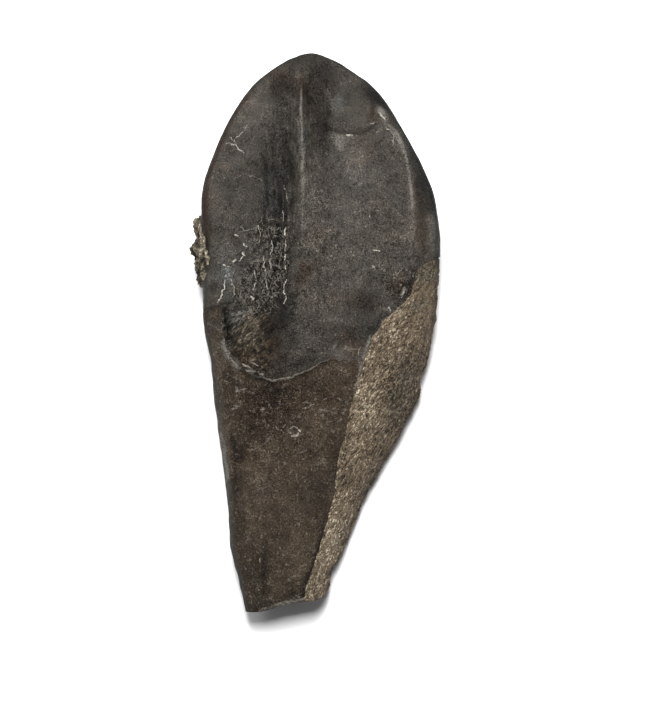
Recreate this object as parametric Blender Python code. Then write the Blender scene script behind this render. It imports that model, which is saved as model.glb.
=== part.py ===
"""A fossil dinosaur tooth, lying on its convex back with its hollow inner side up.

The spoon-shaped crown and its broken root grew as one piece, and are one solid. Sandy matrix, the rock
that the tooth was found in, still fills the root's broken right side, and a crumb of it sits on the
crown's left edge. The tooth lies along Y with its tip at +Y, and rests on the plane z = 0.

Sizes are in millimetres and become metres as each mesh is made. A place on the tooth is given by
"along", its distance from the root's broken end towards the tip, and "across", its X.
"""

import math

import bmesh
import bpy
import numpy as np
from mathutils import Vector, noise

MM = 0.001
LENGTH = 60.0
CLEARANCE = 0.4

# The outline seen from above. Past where the crown starts to close, the crown's closing draws it in
CROWN_CLOSES_LEFT = 44.0
CROWN_CLOSES_RIGHT = 40.0
LEFT_EDGE = [
    (0, -7.4), (3.4, -8.2), (6.7, -9.0), (12, -9.4), (18.5, -10.2), (23, -10.8),
    (27, -11.1), (30, -11.8), (34, -12.0), (CROWN_CLOSES_LEFT, -12.1), (46.5, -12.1), (49, -11.9),
    (52, -11.9), (56, -12.1),
]
RIGHT_EDGE = [
    (0, 1.55), (2.4, 1.9), (4.5, 2.5), (7.7, 3.5), (9.9, 4.55), (12, 5.3), (14, 6.45), (16.4, 7.8),
    (19.6, 9.55), (20.9, 10.3), (22.3, 10.95), (23.7, 11.5), (24.8, 11.5), (25.5, 11.65), (26.3, 12.0),
    (27.7, 12.4), (30.4, 12.8), (33, 13.2), (35, 13.35), (CROWN_CLOSES_RIGHT, 13.5), (43, 13.6),
    (45.3, 13.75), (48, 13.5), (51.4, 13.2), (56, 13.6),
]

# How the crown closes to its tip: the power makes it close later, the roundness makes its end blunter
TIP_ACROSS = -0.3
CLOSING_POWER = 1.6
LEFT_ROUNDNESS = 1.8
RIGHT_ROUNDNESS = 1.75
TIP_NARROWER = 0.3
TIP_NARROWS = (56.4, 58.7, 59.6, 60.05)
CROWN_CLOSES_THROUGH = 49.0
THROUGH_POWER = 4
THROUGH_ROUNDNESS = 2

# Heights above the ground, along the tooth
EDGE_HEIGHT = [(0, 5.0), (10, 5.0), (20, 5.5), (30, 6.6), (38, 7.6), (46, 8.2), (54, 8.7), (60, 9.2)]
INNER_HEIGHT = [(0, 9.2), (8, 10.1), (16, 11.0), (24, 11.5), (31, 11.2), (38, 10.6), (46, 10.4), (60, 10.8)]
BACK_HEIGHT = [
    (0, 1.3), (5, 0.6), (10, 0.0), (15, -0.35), (25, -0.4), (35, -0.3),
    (40, 0.1), (45, 0.9), (50, 2.2), (55, 4.2), (60, 7.4),
]
INNER_FLATNESS = [(0, 0.5), (20, 0.46), (34, 0.5), (60, 0.5)]
# The matrix slopes down to its right: its edge lies lower there, and its sections are rounder
RIGHT_EDGE_DROP = [(0, 2.0), (8, 2.7), (22, 2.6), (31, 1.0), (38, 0.0)]
RIGHT_ROUNDER = [(0, 0.5), (22, 0.5), (31, 0.2), (38, 0.0)]

# Ridges and, with heights below 0, grooves of the inner side: the line that each follows as (along, across),
# its height, its width, and the places along the tooth where it starts, is full, fades and ends
RIDGES = {
    "main ridge": (
        [(20, -2.2), (34, -1.7), (42, -1.35), (49, -1.3), (56, -1.35), (60, -0.9)],
        0.8, 0.95, (33, 45, 55, 60),
    ),
    "left groove": (
        [(28, -5.6), (33, -4.9), (39, -4.4), (44, -4.1), (50, -3.7), (55, -3.4)],
        -1.0, 1.6, (29, 38, 46, 56),
    ),
    "right groove": ([(43, 0.4), (60, 0.2)], -0.55, 1.1, (43, 49, 56, 59)),
    "right rim": (
        [(33, 9.6), (36, 9.9), (41, 10.6), (45, 10.4), (49, 9.7), (51.4, 8.8), (53.5, 7.4), (56, 5)],
        0.6, 0.9, (33, 42, 50, 57),
    ),
    "left rim": (
        [(33, -11.0), (40, -11.1), (46, -10.6), (52, -8.6), (57, -5.4)],
        0.25, 0.7, (31, 36, 50, 57),
    ),
    "root's left corner": (
        [(0, -6.9), (5, -8.0), (10, -8.7), (14, -9.0), (19, -9.4), (23, -9.9), (27, -10.3)],
        0.25, 0.6, (-2, 1, 22, 29),
    ),
}

# Oval hollows and swellings of the inner side: middle as (along, across), half sizes, height
HOLLOWS = {
    "right hollow": ((40.0, 5.0), (11.0, 5.2), -0.9),
    "shoulder": ((54.6, 4.0), (3.8, 3.4), 0.35),
    "left swelling": ((46.0, -7.6), (7.0, 2.4), 0.25),
    "dent by the base": ((31.5, -3.6), (5.0, 1.5), -0.3),
}

# The line (across, along) where the enamel ends on the inner side, with a lip and a dip beyond it
CROWN_BASE = [
    (-12.6, 32.0), (-11.0, 32.6), (-10.2, 33.0), (-9.8, 31.6), (-9.7, 29.8), (-9.5, 28.3), (-9.0, 27.4),
    (-8.3, 26.4), (-7.4, 25.9), (-6.2, 25.4), (-4.7, 24.9), (-2.6, 25.2), (-0.4, 26.1), (1.1, 27.0),
    (2.8, 27.2), (3.5, 27.1), (4.4, 26.9), (5.5, 26.6), (7.0, 27.5), (14, 34.0),
]
BASE_STEP = 0.7
BASE_DIP = 0.5
BASE_DIP_RUN = 4.0
BASE_LIP = 0.2
BASE_LIP_WIDTH = 0.4
BASE_FADES = (1.0, 3.0)
BASE_FADES_BY = 0.75

# The pit in the crown's lower left: a steep side along the crown's base, and a slope up to its right and top
PIT_DEPTH = 1.0
PIT_SIDE = (0.1, 0.8)
PIT_DEEP_TO_ACROSS = -8.8
PIT_ENDS_ACROSS = -4.4
PIT_TOP = (31.6, 33.8)

# The root's slanting break
END_RISE = [(-7.4, 0.0), (-5.6, 0.15), (-3.2, 0.9), (-1.2, 1.2), (0.5, 1.45), (1.24, 2.0), (1.7, 2.8)]
END_RISE_RUN = 7.0
END_HOLLOW = 0.6

# Where the tooth gives way to matrix on the upper side, and how much of that width the matrix keeps below
MATRIX_FROM = [
    (0, -1.0), (2.8, -0.6), (5.2, 0.15), (8.1, 0.9), (12.3, 2.1), (16.2, 2.6), (21.2, 3.75), (25.9, 5.0),
    (29.8, 6.5), (31.6, 7.6), (33.4, 9.6), (34.6, 10.6), (36.2, 11.1), (37.5, 12.0), (38.9, 14.8),
]
MATRIX_SHARE_BELOW = 0.55
MATRIX_STARTS = 37.9
SEAM_DEPTH = 0.3
SEAM_WIDTH = 0.5
SEAM_RUN = (-2, 1, 30, 36)

CRUMB_AT = (-11.2, 38.7, 6.9)
CRUMB_SIZE = (1.8, 4.15, 2.3)
CRUMB_LUMPS = 0.35
CRUMB_LUMP_SIZE = 1.7
CRUMB_LUMP_SEED = Vector((3, 0, 7))

WAVINESS = 0.07
WAVE_SIZE = 5.0
SAND_HEIGHT = 0.2
SAND_SIZE = 1.6
SAND_FADES_IN = (-0.4, 0.6)
# How steeply a section must have risen from its edge before ridges and hollows show on it
RELIEF_FADES_IN = (0.1, 0.45)

# How the sections are shared out, closer together round the crown's base: (share of them, along)
RING_SHARES = [(0, 0), (0.33, 23), (0.86, 38), (1, CROWN_CLOSES_LEFT)]
RINGS_TO_CROWN = 48
RINGS_TO_TIP = 18
MATRIX_RINGS = 38
COLUMNS_RIGHT = 19
COLUMNS_LEFT = 18
COLUMNS_BACK = 18
COLUMNS_CROWD = 0.5
MATRIX_COLUMNS = 14
WALL_COLUMNS = 3
RIDGE_COLUMN_STAYS_WITHIN = 0.5
END_RINGS = (0.7, 0.4)
WELD = 0.005
SHARP_ANGLE = math.radians(50)


def through(points):
    """A smooth function through hand-picked points, level past both ends."""
    at, values = np.array(points, float).T
    slopes = np.gradient(values, at)

    def value(place):
        place = np.clip(place, at[0], at[-1])
        i = np.clip(np.searchsorted(at, place, side="right") - 1, 0, len(at) - 2)
        step = at[i + 1] - at[i]
        t = (place - at[i]) / step
        return (
            values[i] * (1 + 2 * t) * (1 - t) ** 2
            + slopes[i] * step * t * (1 - t) ** 2
            + values[i + 1] * t * t * (3 - 2 * t)
            - slopes[i + 1] * step * t * t * (1 - t)
        )

    return value


def smoothstep(low, high, value):
    t = np.clip((value - low) / (high - low), 0, 1)
    return t * t * (3 - 2 * t)


def run(along, starts, full, fades, ends):
    """1 from full to fades, and 0 before starts and past ends."""
    return smoothstep(starts, full, along) * (1 - smoothstep(fades, ends, along))


def peak(distance, width):
    """A rounded ridge's profile, 1 on its crest."""
    return np.exp(-((distance / width) ** 2))


def dome(along, across, at, size):
    """1 at the middle of an oval and 0 from its edge outwards."""
    return np.clip(1 - ((along - at[0]) / size[0]) ** 2 - ((across - at[1]) / size[1]) ** 2, 0, 1)


def beyond(line, across, along):
    """Distance from a line through points (across, along), below 0 where a place lies nearer to the root."""
    nearest = np.full(across.shape, np.inf)
    for (x0, y0), (x1, y1) in zip(line, line[1:]):
        reach_x, reach_y = x1 - x0, y1 - y0
        share = ((across - x0) * reach_x + (along - y0) * reach_y) / (reach_x**2 + reach_y**2)
        share = np.clip(share, 0, 1)
        nearest = np.minimum(nearest, np.hypot(across - x0 - share * reach_x, along - y0 - share * reach_y))
    at, values = np.array(line).T
    return np.where(along > np.interp(across, at, values), nearest, -nearest)


def closing(along, start, power, roundness):
    """1 up to start, then down to 0 at the tip as a rounded end."""
    t = np.clip((along - start) / (LENGTH - start), 0, 1)
    return (1 - t**power) ** (1 / roundness)


left_outline, right_outline = through(LEFT_EDGE), through(RIGHT_EDGE)
edge_height, inner_height = through(EDGE_HEIGHT), through(INNER_HEIGHT)
back_height, inner_flatness = through(BACK_HEIGHT), through(INNER_FLATNESS)
right_edge_drop, right_rounder = through(RIGHT_EDGE_DROP), through(RIGHT_ROUNDER)
end_rise, matrix_from = through(END_RISE), through(MATRIX_FROM)
ridge_lines = {name: through(line) for name, (line, *_) in RIDGES.items()}


def left_edge(along):
    out = left_outline(along) - TIP_ACROSS
    out = out * closing(along, CROWN_CLOSES_LEFT, CLOSING_POWER, LEFT_ROUNDNESS)
    return TIP_ACROSS + out + TIP_NARROWER * run(along, *TIP_NARROWS)


def right_edge(along):
    out = right_outline(along) - TIP_ACROSS
    out = out * closing(along, CROWN_CLOSES_RIGHT, CLOSING_POWER, RIGHT_ROUNDNESS)
    return TIP_ACROSS + out - TIP_NARROWER * run(along, *TIP_NARROWS)


def inner_relief(along, across):
    """Height that the ridges, grooves, hollows and the crown's base add to the inner side."""
    height = np.zeros_like(across)
    for name, (_, rise, width, extent) in RIDGES.items():
        height += rise * run(along, *extent) * peak(across - ridge_lines[name](along), width)
    for at, size, rise in HOLLOWS.values():
        height += rise * dome(along, across, at, size)
    past_base = beyond(CROWN_BASE, across, along)
    base = 1 - BASE_FADES_BY * smoothstep(*BASE_FADES, across)
    dip = smoothstep(0, BASE_STEP, past_base) * np.clip(1 - past_base / BASE_DIP_RUN, 0, 1) ** 2
    height -= BASE_DIP * base * dip
    height += BASE_LIP * base * peak(past_base, BASE_LIP_WIDTH)
    in_pit = smoothstep(*PIT_SIDE, past_base) * (1 - smoothstep(*PIT_TOP, along))
    height -= PIT_DEPTH * in_pit * (1 - smoothstep(PIT_DEEP_TO_ACROSS, PIT_ENDS_ACROSS, across))
    height -= SEAM_DEPTH * run(along, *SEAM_RUN) * peak(across - matrix_from(along), SEAM_WIDTH)
    return height


def surface(along, angle, grow=0.0):
    """Points of the whole specimen's surface, on the sections at "along" that stand across the tooth.

    The angle runs round a section from its right edge over the inner side. Grow thickens the section."""
    left, right = left_edge(along) - grow, right_edge(along) + grow
    across = (left + right) / 2 + (right - left) / 2 * np.cos(angle)
    rise, to_right = np.abs(np.sin(angle)), (1 + np.cos(angle)) / 2
    edge = edge_height(along) - right_edge_drop(along) * to_right
    flatness = inner_flatness(along) + right_rounder(along) * to_right**2
    ends = closing(along, CROWN_CLOSES_THROUGH, THROUGH_POWER, THROUGH_ROUNDNESS)
    over = edge + (inner_height(along) - edge + grow) * ends * rise**flatness
    over += inner_relief(along, across) * smoothstep(*RELIEF_FADES_IN, rise) * ends
    under = edge - (edge - back_height(along) + grow) * ends * rise
    up = np.where(np.sin(angle) >= 0, over, under)
    on_matrix = smoothstep(*SAND_FADES_IN, across - matrix_from(along))
    for i in np.ndindex(across.shape):
        place = Vector((across[i], along[i], up[i]))
        bulge = WAVINESS * noise.noise(place / WAVE_SIZE)
        bulge += SAND_HEIGHT * on_matrix[i] * noise.noise(place / SAND_SIZE)
        across[i] += bulge * math.cos(angle[i])
        up[i] += bulge * math.sin(angle[i])
    forward = along + end_rise(across) * (1 - smoothstep(0, END_RISE_RUN, along))
    return np.stack([across, forward, np.maximum(up, 0)], axis=-1)


def spread(first, last, count, crowd=0.0):
    """Angles from first up to last, last left out, that crowd towards last where crowd is above 0."""
    t = np.linspace(0, 1, count, endpoint=False)[:, None]
    return first + (last - first) * (t * (1 + crowd) - crowd * t * t)


def seam_angles(along, shift):
    """Where matrix begins on each section, as its angle on the inner side and its angle on the back."""
    left, right = left_edge(along), right_edge(along)
    middle, half = (left + right) / 2, (right - left) / 2
    above = matrix_from(along) + shift
    below = right - (right - matrix_from(along)) * MATRIX_SHARE_BELOW + shift
    above, below = (np.arccos(np.clip((x - middle) / half, -1, 1)) for x in (above, below))
    return above, 2 * math.pi - below


def walled(rings):
    """Each ring closed by a straight wall from its last point back to its first."""
    shares = np.linspace(0, 1, WALL_COLUMNS + 2)[1:-1, None]
    first, last = rings[:, :1], rings[:, -1:]
    return np.concatenate([rings, last + (first - last) * shares], axis=1)


def with_end(rings, tip):
    """(start point, rings, tip point), with rings that close the root's broken end added before the first."""
    centre = rings[0].mean(axis=0)
    ends = []
    for share in END_RINGS:
        ring = centre + (rings[0] - centre) * share
        ring[:, 1] += END_HOLLOW * (1 - share)
        ends.insert(0, ring)
    start = centre + np.array([0, END_HOLLOW, 0])
    return start, np.concatenate([ends, rings]), tip


def tooth_rings(grow=0.0):
    """The tooth's sections, from the root's broken end to the tip, each cut off where matrix begins."""
    crown_closes = LENGTH - CROWN_CLOSES_LEFT
    quarter_turn = np.linspace(0, math.pi / 2, RINGS_TO_TIP + 1, endpoint=False)[1:]
    along = np.concatenate([
        np.interp(np.linspace(0, 1, RINGS_TO_CROWN), *np.transpose(RING_SHARES)),
        CROWN_CLOSES_LEFT + crown_closes * np.sin(quarter_turn),
    ])
    left, right = left_edge(along), right_edge(along)
    ridge_share = (ridge_lines["main ridge"](along) - (left + right) / 2) / ((right - left) / 2)
    ridge = np.arccos(np.clip(ridge_share, -RIDGE_COLUMN_STAYS_WITHIN, RIDGE_COLUMN_STAYS_WITHIN))
    above, below = seam_angles(along, -CLEARANCE / 2)
    angles = np.concatenate([
        spread(above, ridge, COLUMNS_RIGHT, crowd=COLUMNS_CROWD),
        math.pi - spread(math.pi - ridge, 0 * ridge, COLUMNS_LEFT, crowd=-COLUMNS_CROWD),
        spread(math.pi + 0 * below, below, COLUMNS_BACK),
        below[None],
    ]).T
    rings = surface(np.broadcast_to(along[:, None], angles.shape), angles, grow)
    return with_end(walled(rings), (TIP_ACROSS, LENGTH, edge_height(LENGTH)))


def matrix_rings():
    """Sections of the matrix beside the root, from the broken end up to where it runs out."""
    along = np.linspace(0, MATRIX_STARTS, MATRIX_RINGS, endpoint=False)
    above, below = seam_angles(along, CLEARANCE / 2)
    angles = np.concatenate([spread(below - 2 * math.pi, above, MATRIX_COLUMNS), above[None]]).T
    rings = surface(np.broadcast_to(along[:, None], angles.shape), angles)
    tip = surface(np.array([MATRIX_STARTS]), np.array([0.0]))[0]
    return with_end(walled(rings), tip)


def loft(name, start, rings, tip):
    """A closed object through the rings, with each end brought to a point."""
    bm = bmesh.new()
    centred = np.array([0, LENGTH / 2, 0])
    rows = [[bm.verts.new((point - centred) * MM) for point in ring] for ring in rings]
    first, last = (bm.verts.new((np.array(point) - centred) * MM) for point in (start, tip))
    for j in range(len(rows[0])):
        k = (j + 1) % len(rows[0])
        bm.faces.new((first, rows[0][k], rows[0][j]))
        bm.faces.new((last, rows[-1][j], rows[-1][k]))
        for low, high in zip(rows, rows[1:]):
            bm.faces.new((low[j], low[k], high[k], high[j]))
    bmesh.ops.remove_doubles(bm, verts=bm.verts, dist=WELD * MM)
    bmesh.ops.recalc_face_normals(bm, faces=bm.faces)
    return as_object(name, bm)


def crumb():
    """A rough lump, as long as the clump of matrix on the crown's edge."""
    bm = bmesh.new()
    bmesh.ops.create_icosphere(bm, subdivisions=3, radius=1)
    for vert in bm.verts:
        point = Vector([u * size for u, size in zip(vert.co, CRUMB_SIZE)])
        lumps = 1 + CRUMB_LUMPS * noise.noise(point / CRUMB_LUMP_SIZE + CRUMB_LUMP_SEED)
        place = Vector(CRUMB_AT) + point * lumps - Vector((0, LENGTH / 2, 0))
        vert.co = place * MM
    return as_object("matrix_crumb", bm)


def as_object(name, bm):
    mesh = bpy.data.meshes.new(name)
    bm.to_mesh(mesh)
    bm.free()
    return bpy.data.objects.new(name, mesh)


def material(name, colour, roughness):
    made = bpy.data.materials.new(name)
    made.use_nodes = True
    shader = made.node_tree.nodes["Principled BSDF"]
    shader.inputs["Base Color"].default_value = (*colour, 1)
    shader.inputs["Roughness"].default_value = roughness
    shader.inputs["Metallic"].default_value = 0
    return made


def collection(name):
    made = bpy.data.collections.new(name)
    bpy.context.scene.collection.children.link(made)
    return made


def smooth(obj):
    obj.data.shade_smooth()
    obj.data.set_sharp_from_angle(angle=SHARP_ANGLE)


def main():
    for old in list(bpy.data.objects):
        bpy.data.objects.remove(old)
    fossil = material("fossil_enamel_and_root", (0.080, 0.068, 0.056), 0.5)
    sandstone = material("sandy_matrix", (0.156, 0.119, 0.082), 0.9)
    parts, cutters = collection("fossil_tooth"), collection("cutters")

    tooth = loft("tooth", *tooth_rings())
    matrix = loft("matrix_side", *matrix_rings())
    lump = crumb()
    for obj, finish in ((tooth, fossil), (matrix, sandstone), (lump, sandstone)):
        parts.objects.link(obj)
        obj.data.materials.append(finish)
        smooth(obj)

    grown_tooth = loft("grown_tooth", *tooth_rings(grow=CLEARANCE))
    grown_tooth.hide_render = True
    grown_tooth.display_type = "WIRE"
    cutters.objects.link(grown_tooth)
    bed = lump.modifiers.new("bed_on_crown", "BOOLEAN")
    bed.operation = "DIFFERENCE"
    bed.object = grown_tooth


main()
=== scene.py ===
"""The looks of a fossil dinosaur tooth that lies on its convex back, with its hollow inner side up.

The tooth, the sandy matrix along its root and a crumb of matrix on its crown are modelled afresh, with more
detail, in the places of the frame's plain solids. Sizes are in millimetres unless a property says
otherwise. "Along" is the distance from the root's broken end towards the tip, and "across" is X.
"""
import math

import bmesh
import bpy
import numpy as np
from bpy.props import FloatProperty, FloatVectorProperty, IntProperty, PointerProperty
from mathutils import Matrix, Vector, noise


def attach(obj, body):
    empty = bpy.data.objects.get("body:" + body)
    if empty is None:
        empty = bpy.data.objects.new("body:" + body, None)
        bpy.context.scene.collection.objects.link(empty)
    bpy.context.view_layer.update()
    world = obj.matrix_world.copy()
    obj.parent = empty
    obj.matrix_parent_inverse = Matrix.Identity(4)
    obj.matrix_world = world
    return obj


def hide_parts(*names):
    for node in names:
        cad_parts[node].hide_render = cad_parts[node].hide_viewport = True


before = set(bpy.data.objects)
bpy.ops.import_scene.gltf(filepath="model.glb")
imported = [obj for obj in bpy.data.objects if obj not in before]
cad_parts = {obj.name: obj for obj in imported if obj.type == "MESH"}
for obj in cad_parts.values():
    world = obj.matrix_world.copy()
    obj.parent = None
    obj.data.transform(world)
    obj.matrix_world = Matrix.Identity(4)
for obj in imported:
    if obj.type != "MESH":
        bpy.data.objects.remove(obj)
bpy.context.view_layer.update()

bl_info = {
    "name": "Fossil Tooth",
    "version": (1, 0, 0),
    "blender": (4, 5, 0),
    "location": "3D Viewport > Sidebar > Fossil",
    "description": "Builds a fossil dinosaur tooth with its matrix, sand grains and stage",
    "category": "Add Mesh",
}

MM = 0.001
LENGTH = 60.0

# Where the crown starts to close towards its tip on its left, on its right and through its thickness
CROWN_CLOSES_LEFT = 44.0
CROWN_CLOSES_RIGHT = 40.0
CROWN_CLOSES_THROUGH = 49.0
# The bend of each closing: the power that it starts with and the root that it ends with
LEFT_BEND = (1.6, 1.8)
RIGHT_BEND = (1.6, 1.75)
THROUGH_BEND = (4, 2)
TIP_ACROSS = -0.3
# How much narrower each side is near the tip, and where: from, fully from, fully to, to
TIP_NARROWER = 0.3
TIP_NARROWS = (56.4, 58.7, 59.6, 60.05)

# The outline seen from above, as (along, across), level past where the crown closes
LEFT_EDGE = [
    (0, -7.4), (3.4, -8.2), (6.7, -9.0), (12, -9.4), (18.5, -10.2), (23, -10.8),
    (27, -11.1), (30, -11.8), (34, -12.0), (CROWN_CLOSES_LEFT, -12.1), (46.5, -12.1), (49, -11.9),
    (52, -11.9), (56, -12.1),
]
RIGHT_EDGE = [
    (0, 1.55), (2.4, 1.9), (4.5, 2.5), (7.7, 3.5), (9.9, 4.55), (12, 5.3), (14, 6.45), (16.4, 7.8),
    (19.6, 9.55), (20.9, 10.3), (22.3, 10.95), (23.7, 11.5), (24.8, 11.5), (25.5, 11.65), (26.3, 12.0),
    (27.7, 12.4), (30.4, 12.8), (33, 13.2), (35, 13.35), (CROWN_CLOSES_RIGHT, 13.5), (43, 13.6),
    (45.3, 13.75), (48, 13.5), (51.4, 13.2), (56, 13.6),
]

# Heights above the ground, along the tooth
EDGE_HEIGHT = [(0, 5.0), (10, 5.0), (20, 5.5), (30, 6.6), (38, 7.6), (46, 8.2), (54, 8.7), (60, 9.2)]
INNER_HEIGHT = [
    (0, 9.2), (8, 10.1), (16, 11.0), (24, 11.5), (31, 11.2), (38, 10.6), (46, 10.4), (60, 10.8),
]
BACK_HEIGHT = [
    (0, 1.3), (5, 0.6), (10, 0.0), (15, -0.35), (25, -0.4), (35, -0.3),
    (40, 0.1), (45, 0.9), (50, 2.2), (55, 4.2), (60, 7.4),
]
# A section's inner side rises from its edges as a sine to this power: the smaller, the flatter
INNER_FLATNESS = [(0, 0.5), (20, 0.46), (34, 0.5), (60, 0.5)]
# The matrix slopes down to its right: its edge lies this much lower there, and its sections are rounder
RIGHT_EDGE_DROP = [(0, 2.0), (8, 2.7), (22, 2.6), (31, 1.0), (38, 0.0)]
RIGHT_ROUNDER = [(0, 0.5), (22, 0.5), (31, 0.2), (38, 0.0)]
# Ridges and hollows fade out over this part of a section's rise from its edges
RELIEF_FADES = (0.1, 0.45)

# Where the enamel ends on the inner side and on the back, as (across, along)
CROWN_BASE = [
    (-12.6, 32.0), (-11.04, 32.63), (-10.18, 33.06), (-9.8, 31.66), (-9.75, 29.83), (-9.53, 28.33),
    (-8.99, 27.36), (-8.35, 26.39), (-7.38, 25.85), (-6.19, 25.42), (-4.68, 24.93), (-3.72, 24.99),
    (-2.64, 25.2), (-1.24, 25.74), (-0.38, 26.06), (0.48, 26.71), (1.13, 27.0), (1.99, 27.25),
    (2.75, 27.2), (3.5, 27.1), (4.4, 26.9), (5.5, 26.6), (7.0, 27.5), (14, 34.0),
]
CROWN_BASE_BACK = [(-12.6, 32.0), (-8, 27.4), (0, 24.6), (8, 27.5), (14, 34.0)]
# The step down past the crown's base, and the fine lip and groove that follow it
BASE_DROP = 0.5
BASE_DROP_RUNS_OUT = 4.0
BASE_LIP = 0.2
BASE_LIP_ACROSS = (-8, -5, 1, 3.5)
BASE_GROOVE = 0.12
PIT_RIM = [(-9.8, 28.9), (-9.4, 27.8), (-8.75, 26.9), (-8.0, 26.25), (-6.84, 25.79), (-5.65, 25.36)]
PIT_RIM_HEIGHT = 0.2
# How far to the right the pit is deep and how far it has its colour, and where it ends along
PIT_DEEP_TO = -8.8
PIT_COLOUR_TO = -5.6
PIT_FADES = (31.6, 33.8)
SHOULDER_EDGE = [
    (1.2, 52.1), (2.21, 51.75), (2.85, 51.7), (3.82, 51.48), (5.01, 51.37), (5.87, 51.8), (6.8, 52.6),
]
SHOULDER_STEP = 0.22
SHOULDER_STEP_RUNS_OUT = 2.5
SHOULDER_ACROSS = (0.8, 2.2, 5.8, 7.2)

# How much further along the root's broken end lies, by place across
END_RISE = [(-7.4, 0.0), (-5.6, 0.15), (-3.2, 0.9), (-1.2, 1.2), (0.5, 1.45), (1.24, 2.0), (1.7, 2.8)]
END_RISE_RUN = 7.0
END_HOLLOW = 0.6
# Widths of the rings that close the broken end, as shares of the first section's
END_RINGS = np.linspace(0.12, 0.97, 9)

# Where matrix takes over from the tooth on the inner side, as (along, across)
MATRIX_FROM = [
    (0, -1.0), (1.08, -0.92), (2.8, -0.59), (5.17, 0.16), (8.08, 0.92), (9.91, 1.35), (12.28, 2.1),
    (16.16, 2.53), (21.22, 3.75), (25.85, 5.0), (27.89, 5.7), (29.83, 6.5), (31.4, 7.5), (32.3, 8.6),
    (33.2, 9.6), (34.2, 10.4), (35.4, 10.8), (36.8, 11.1), (37.5, 12.0), (38.1, 13.2), (38.9, 14.8),
]
# The matrix takes up this share of the same width on the back
MATRIX_SHARE_BELOW = 0.55
MATRIX_STARTS = 38.0
# How far the matrix reaches in under the tooth, and how much lower it lies there
MATRIX_TUCK = 0.5
MATRIX_LOWER = 0.6
# The tooth's edge by the matrix is jagged, the more so at the ledge, and never leaves the matrix's tuck
LEDGE = (27, 30, 36, 38)
LEDGE_ROUGHER = 1.2
EDGE_STAYS_PAST = -0.42

# Share of the tooth's sections up to where the crown closes, and how far along it they reach
SECTIONS_UP_TO_CROWN = [(0, 0), (0.36, 23), (0.88, 41), (1, CROWN_CLOSES_LEFT)]
MATRIX_SECTIONS = 225
MATRIX_COLUMNS = 140
# Where the points of a section's flat wall lie between its two sides
WALL_SHARES = np.linspace(0, 1, 8)[1:-1, None]
# Which way the pit's fibres and the matrix's streaks run, from Y towards the right
FIBRES_LEAN = math.radians(52)
STREAKS_LEAN = math.radians(42)

# The crumb's middle as (across, along, up), and its half sizes
CRUMB_AT = (-10.95, 38.65, 7.2)
CRUMB_SIZE = (1.8, 4.15, 2.3)
# How many times as wide it is, from its end towards the root to its other end
CRUMB_LOBES = [
    (-1, 1.5), (-0.7, 1.15), (-0.35, 1.0), (-0.05, 1.15), (0.1, 1.4), (0.27, 1.05), (0.6, 1.3), (1, 2.1),
]

# Grains to a square metre before those that lie too close are left out, and how their sizes and tones vary
MOST_GRAINS = 4e7
GRAIN_SHAPES = ((0.5, 0.9, 0.5), (0.9, 2.0, 0.9))
GRAIN_TONES = (-0.8, 1.25)

# The stage, in metres. The camera's distance is from the level that the inner side lies at
FLOOR_SIZE = 3.0
KEY_LAMP = (-0.005, 0.112, 0.43)
KEY_LAMP_SIDES = (0.07, 0.125)
FILL_LAMP = (-0.13, 0.2, 0.38)
FILL_LAMP_SIDES = (0.3, 0.3)
CAMERA_AT = (0.00194, -0.0019)
CAMERA_DISTANCE = 0.45
LEVEL_SEEN = 0.007

# Ridges and grooves of the inner side: line as (along, across), height, width, and where it runs along
RIDGES = {
    "main ridge": (
        [(20, -2.2), (34, -1.7), (42, -1.35), (49, -1.3), (56, -1.35), (60, -0.9)],
        0.7, 1.0, (33, 45, 55, 60),
    ),
    "main ridge's crest": (
        [(34, -1.5), (42, -1.24), (49, -1.24), (56, -1.38), (60, -0.9)],
        0.17, 0.26, (38, 46, 56, 58),
    ),
    "left groove": (
        [(28, -5.6), (33, -4.9), (39, -4.4), (44, -4.1), (50, -3.7), (55, -3.4)],
        -1.0, 1.6, (29, 38, 46, 56),
    ),
    "right groove": ([(43, 0.4), (60, 0.2)], -0.5, 1.2, (43, 49, 56, 59)),
    "right rim": (
        [(33, 9.6), (36, 9.9), (41, 10.6), (45, 10.4), (49, 9.7), (51.4, 8.8), (53.5, 7.4), (56, 5)],
        0.6, 0.9, (33, 42, 50, 57),
    ),
    "left rim": (
        [(33, -11.0), (40, -11.1), (46, -10.6), (52, -8.6), (57, -5.4)],
        0.25, 0.6, (31, 36, 50, 57),
    ),
    "root's left corner": (
        [(0, -6.9), (5, -8.0), (10, -8.7), (14, -9.0), (19, -9.4), (23, -9.9), (27, -10.3)],
        0.25, 0.45, (-2, 1, 22, 29),
    ),
    "root's groove": ([(0, -5.2), (9, -5.2)], -0.18, 0.5, (-2, 0, 4, 9)),
    "root's side groove": ([(9, -7.7), (16, -8.3)], -0.25, 0.4, (7, 10, 15, 18)),
    "root's swelling": ([(8, -1.6), (24, -1.6)], 0.12, 1.4, (6, 11, 19, 24)),
}
# Hollows and swellings: (along, across), half sizes, height
HOLLOWS = {
    "right hollow": ((40.0, 5.0), (11.0, 5.2), -0.9),
    "shoulder": ((54.6, 4.0), (3.8, 3.4), 0.3),
    "left swelling": ((46.0, -7.6), (7.0, 2.4), 0.25),
    "dent by the base": ((31.5, -3.6), (5.0, 1.5), -0.3),
    "chip on the root": ((16.3, -7.6), (0.9, 0.9), -0.25),
}

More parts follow.
